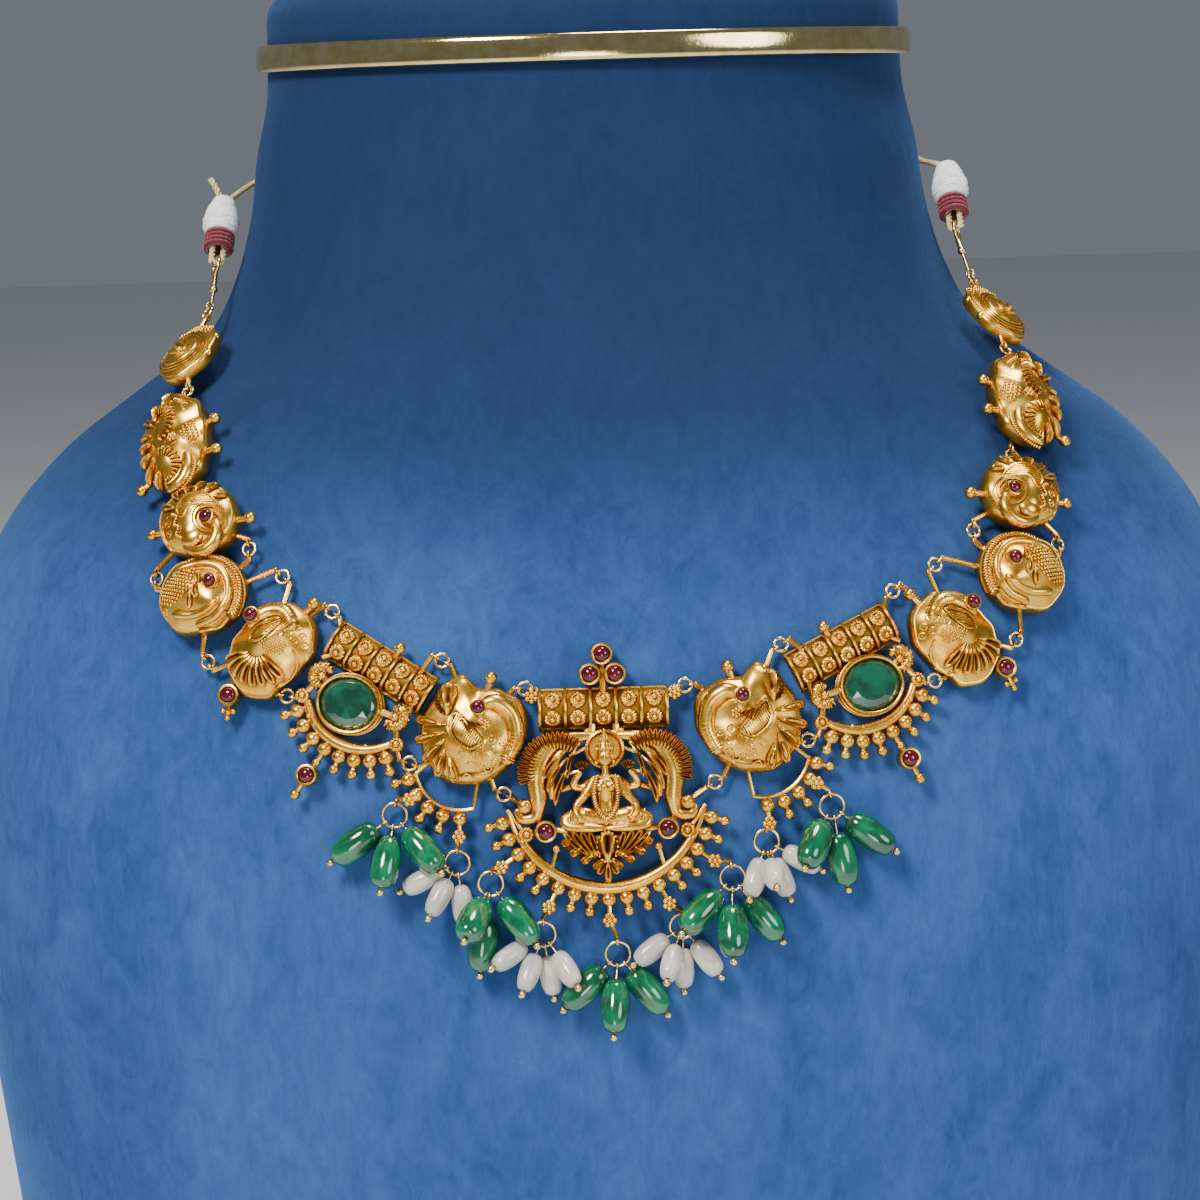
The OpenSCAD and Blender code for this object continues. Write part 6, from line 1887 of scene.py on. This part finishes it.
def goldwork(name, shell_of, *sizes):
    """Both sides of a gold piece."""
    for side, label in enumerate(SIDES):
        make_piece(f"{name}_beaten_{label}", shell_of(side, *sizes), "antique", f"{name}_{label}",
                   40)


class NECKLACE_OT_pendant(bpy.types.Operator):
    """Makes the centre pendant with its seated figure, and sets its rubies"""

    bl_idname = "necklace.pendant"
    bl_label = "Centre pendant"

    def execute(self, context):
        d = context.scene.necklace_sizes.ruby
        make_piece("goddess_pendant", pendant_shell(), "antique", "centre_pendant", 40)
        trio, pair = Shell(), Shell()
        for x, y, z in TRIO:
            cabochon(trio, x, y, z + 1.67, d, 1.0)
        for x in (-10.3, 10.3):
            cabochon(pair, x, -12.2, 2.47, d, 1.0)
        home = place_matrix(PENDANT)
        make_piece("trio_cabochons", Shell().include(trio, home), "ruby", "ruby_trio")
        make_piece("side_cabochons", Shell().include(pair, home), "ruby", "pendant_rubies")
        return {"FINISHED"}


class NECKLACE_OT_peacocks(bpy.types.Operator):
    """Makes the four domed peacock plaques"""

    bl_idname = "necklace.peacocks"
    bl_label = "Peacocks"

    def execute(self, context):
        goldwork("peacock_1", peacock_1_shell)
        goldwork("peacock_2", peacock_2_shell)
        return {"FINISHED"}


class NECKLACE_OT_emeralds(bpy.types.Operator):
    """Makes the emerald settings and the cut stones in them"""

    bl_idname = "necklace.emeralds"
    bl_label = "Emerald settings"

    def execute(self, context):
        size = tuple(context.scene.necklace_sizes.emerald)
        goldwork("emerald_setting", emerald_setting_shell, size)
        for side, label in enumerate(SIDES):
            made = make_piece(f"cut_emerald_{label}", emerald_shell(side, size), "emerald",
                              f"emerald_{label}")
            made.data.polygons.foreach_set("use_smooth", np.zeros(len(made.data.polygons), bool))
        return {"FINISHED"}


class NECKLACE_OT_plaques(bpy.types.Operator):
    """Makes the crested, paisley, leaf and end plaques of both sides"""

    bl_idname = "necklace.plaques"
    bl_label = "Side plaques"

    def execute(self, context):
        for name, shell_of in (("crested_plaque", crested_shell), ("paisley_plaque", paisley_shell),
                               ("leaf_plaque", leaf_shell), ("end_paisley", end_shell)):
            goldwork(name, shell_of)
        return {"FINISHED"}


class NECKLACE_OT_rubies(bpy.types.Operator):
    """Sets the ruby eyes of the plaques and the rubies of the drops"""

    bl_idname = "necklace.rubies"
    bl_label = "Small rubies"

    def execute(self, context):
        d = context.scene.necklace_sizes.ruby
        for side, label in enumerate(SIDES):
            made = Shell()
            for place, x, y, z in ((PEACOCK_1[side], 0.9, 4.6, 5.96), (PEACOCK_2[side], -2.4, 5, 5.96),
                                   (CRESTED[side], -0.4, 3, 6.66), (PAISLEY[side], 1.4, 3, 6.26)):
                eye = Shell()
                cabochon(eye, x, y, z, 2.1, 0.62)
                made.include(eye, place_matrix(place, side))
            drops = Shell(), Shell()
            cabochon(drops[0], 17.7, 0, 0.67, d, 0.9)
            cabochon(drops[1], DROP[side][0], DROP[side][1], 1.77, d, 0.9)
            made.include(drops[0], place_matrix(EMERALD[side], side) @ shifted(*EMERALD_ARC, 1.4)
                         @ turned("Z", EMERALD_FRINGE[3]))
            made.include(drops[1], place_matrix(PEACOCK_2[side], side))
            make_piece(f"set_rubies_{label}", made, "ruby", f"small_rubies_{label}")
        return {"FINISHED"}


class NECKLACE_PT_panel(bpy.types.Panel):
    """Lists the pieces, their sizes and their colours"""

    bl_label = "Temple necklace"
    bl_idname = "NECKLACE_PT_panel"
    bl_space_type = "VIEW_3D"
    bl_region_type = "UI"
    bl_category = "Necklace"

    def draw(self, context):
        column = self.layout.column()
        for group in (context.scene.necklace_sizes, context.scene.necklace_finish):
            for key in group.__annotations__:
                column.prop(group, key)
        for operator in OPERATORS:
            column.operator(operator.bl_idname)


OPERATORS = (NECKLACE_OT_stage, NECKLACE_OT_bust, NECKLACE_OT_pendant, NECKLACE_OT_peacocks,
             NECKLACE_OT_emeralds, NECKLACE_OT_plaques, NECKLACE_OT_rubies, NECKLACE_OT_beads,
             NECKLACE_OT_cord, NECKLACE_OT_findings)
CLASSES = (Finish, Sizes) + OPERATORS + (NECKLACE_PT_panel,)


def register():
    for made in CLASSES:
        bpy.utils.register_class(made)
    bpy.types.Scene.necklace_finish = bpy.props.PointerProperty(type=Finish)
    bpy.types.Scene.necklace_sizes = bpy.props.PointerProperty(type=Sizes)


def unregister():
    del bpy.types.Scene.necklace_sizes
    del bpy.types.Scene.necklace_finish
    for made in reversed(CLASSES):
        bpy.utils.unregister_class(made)


def main():
    register()
    for operator in OPERATORS:
        group, name = operator.bl_idname.split(".")
        getattr(getattr(bpy.ops, group), name)()


if __name__ == "__main__":
    main()
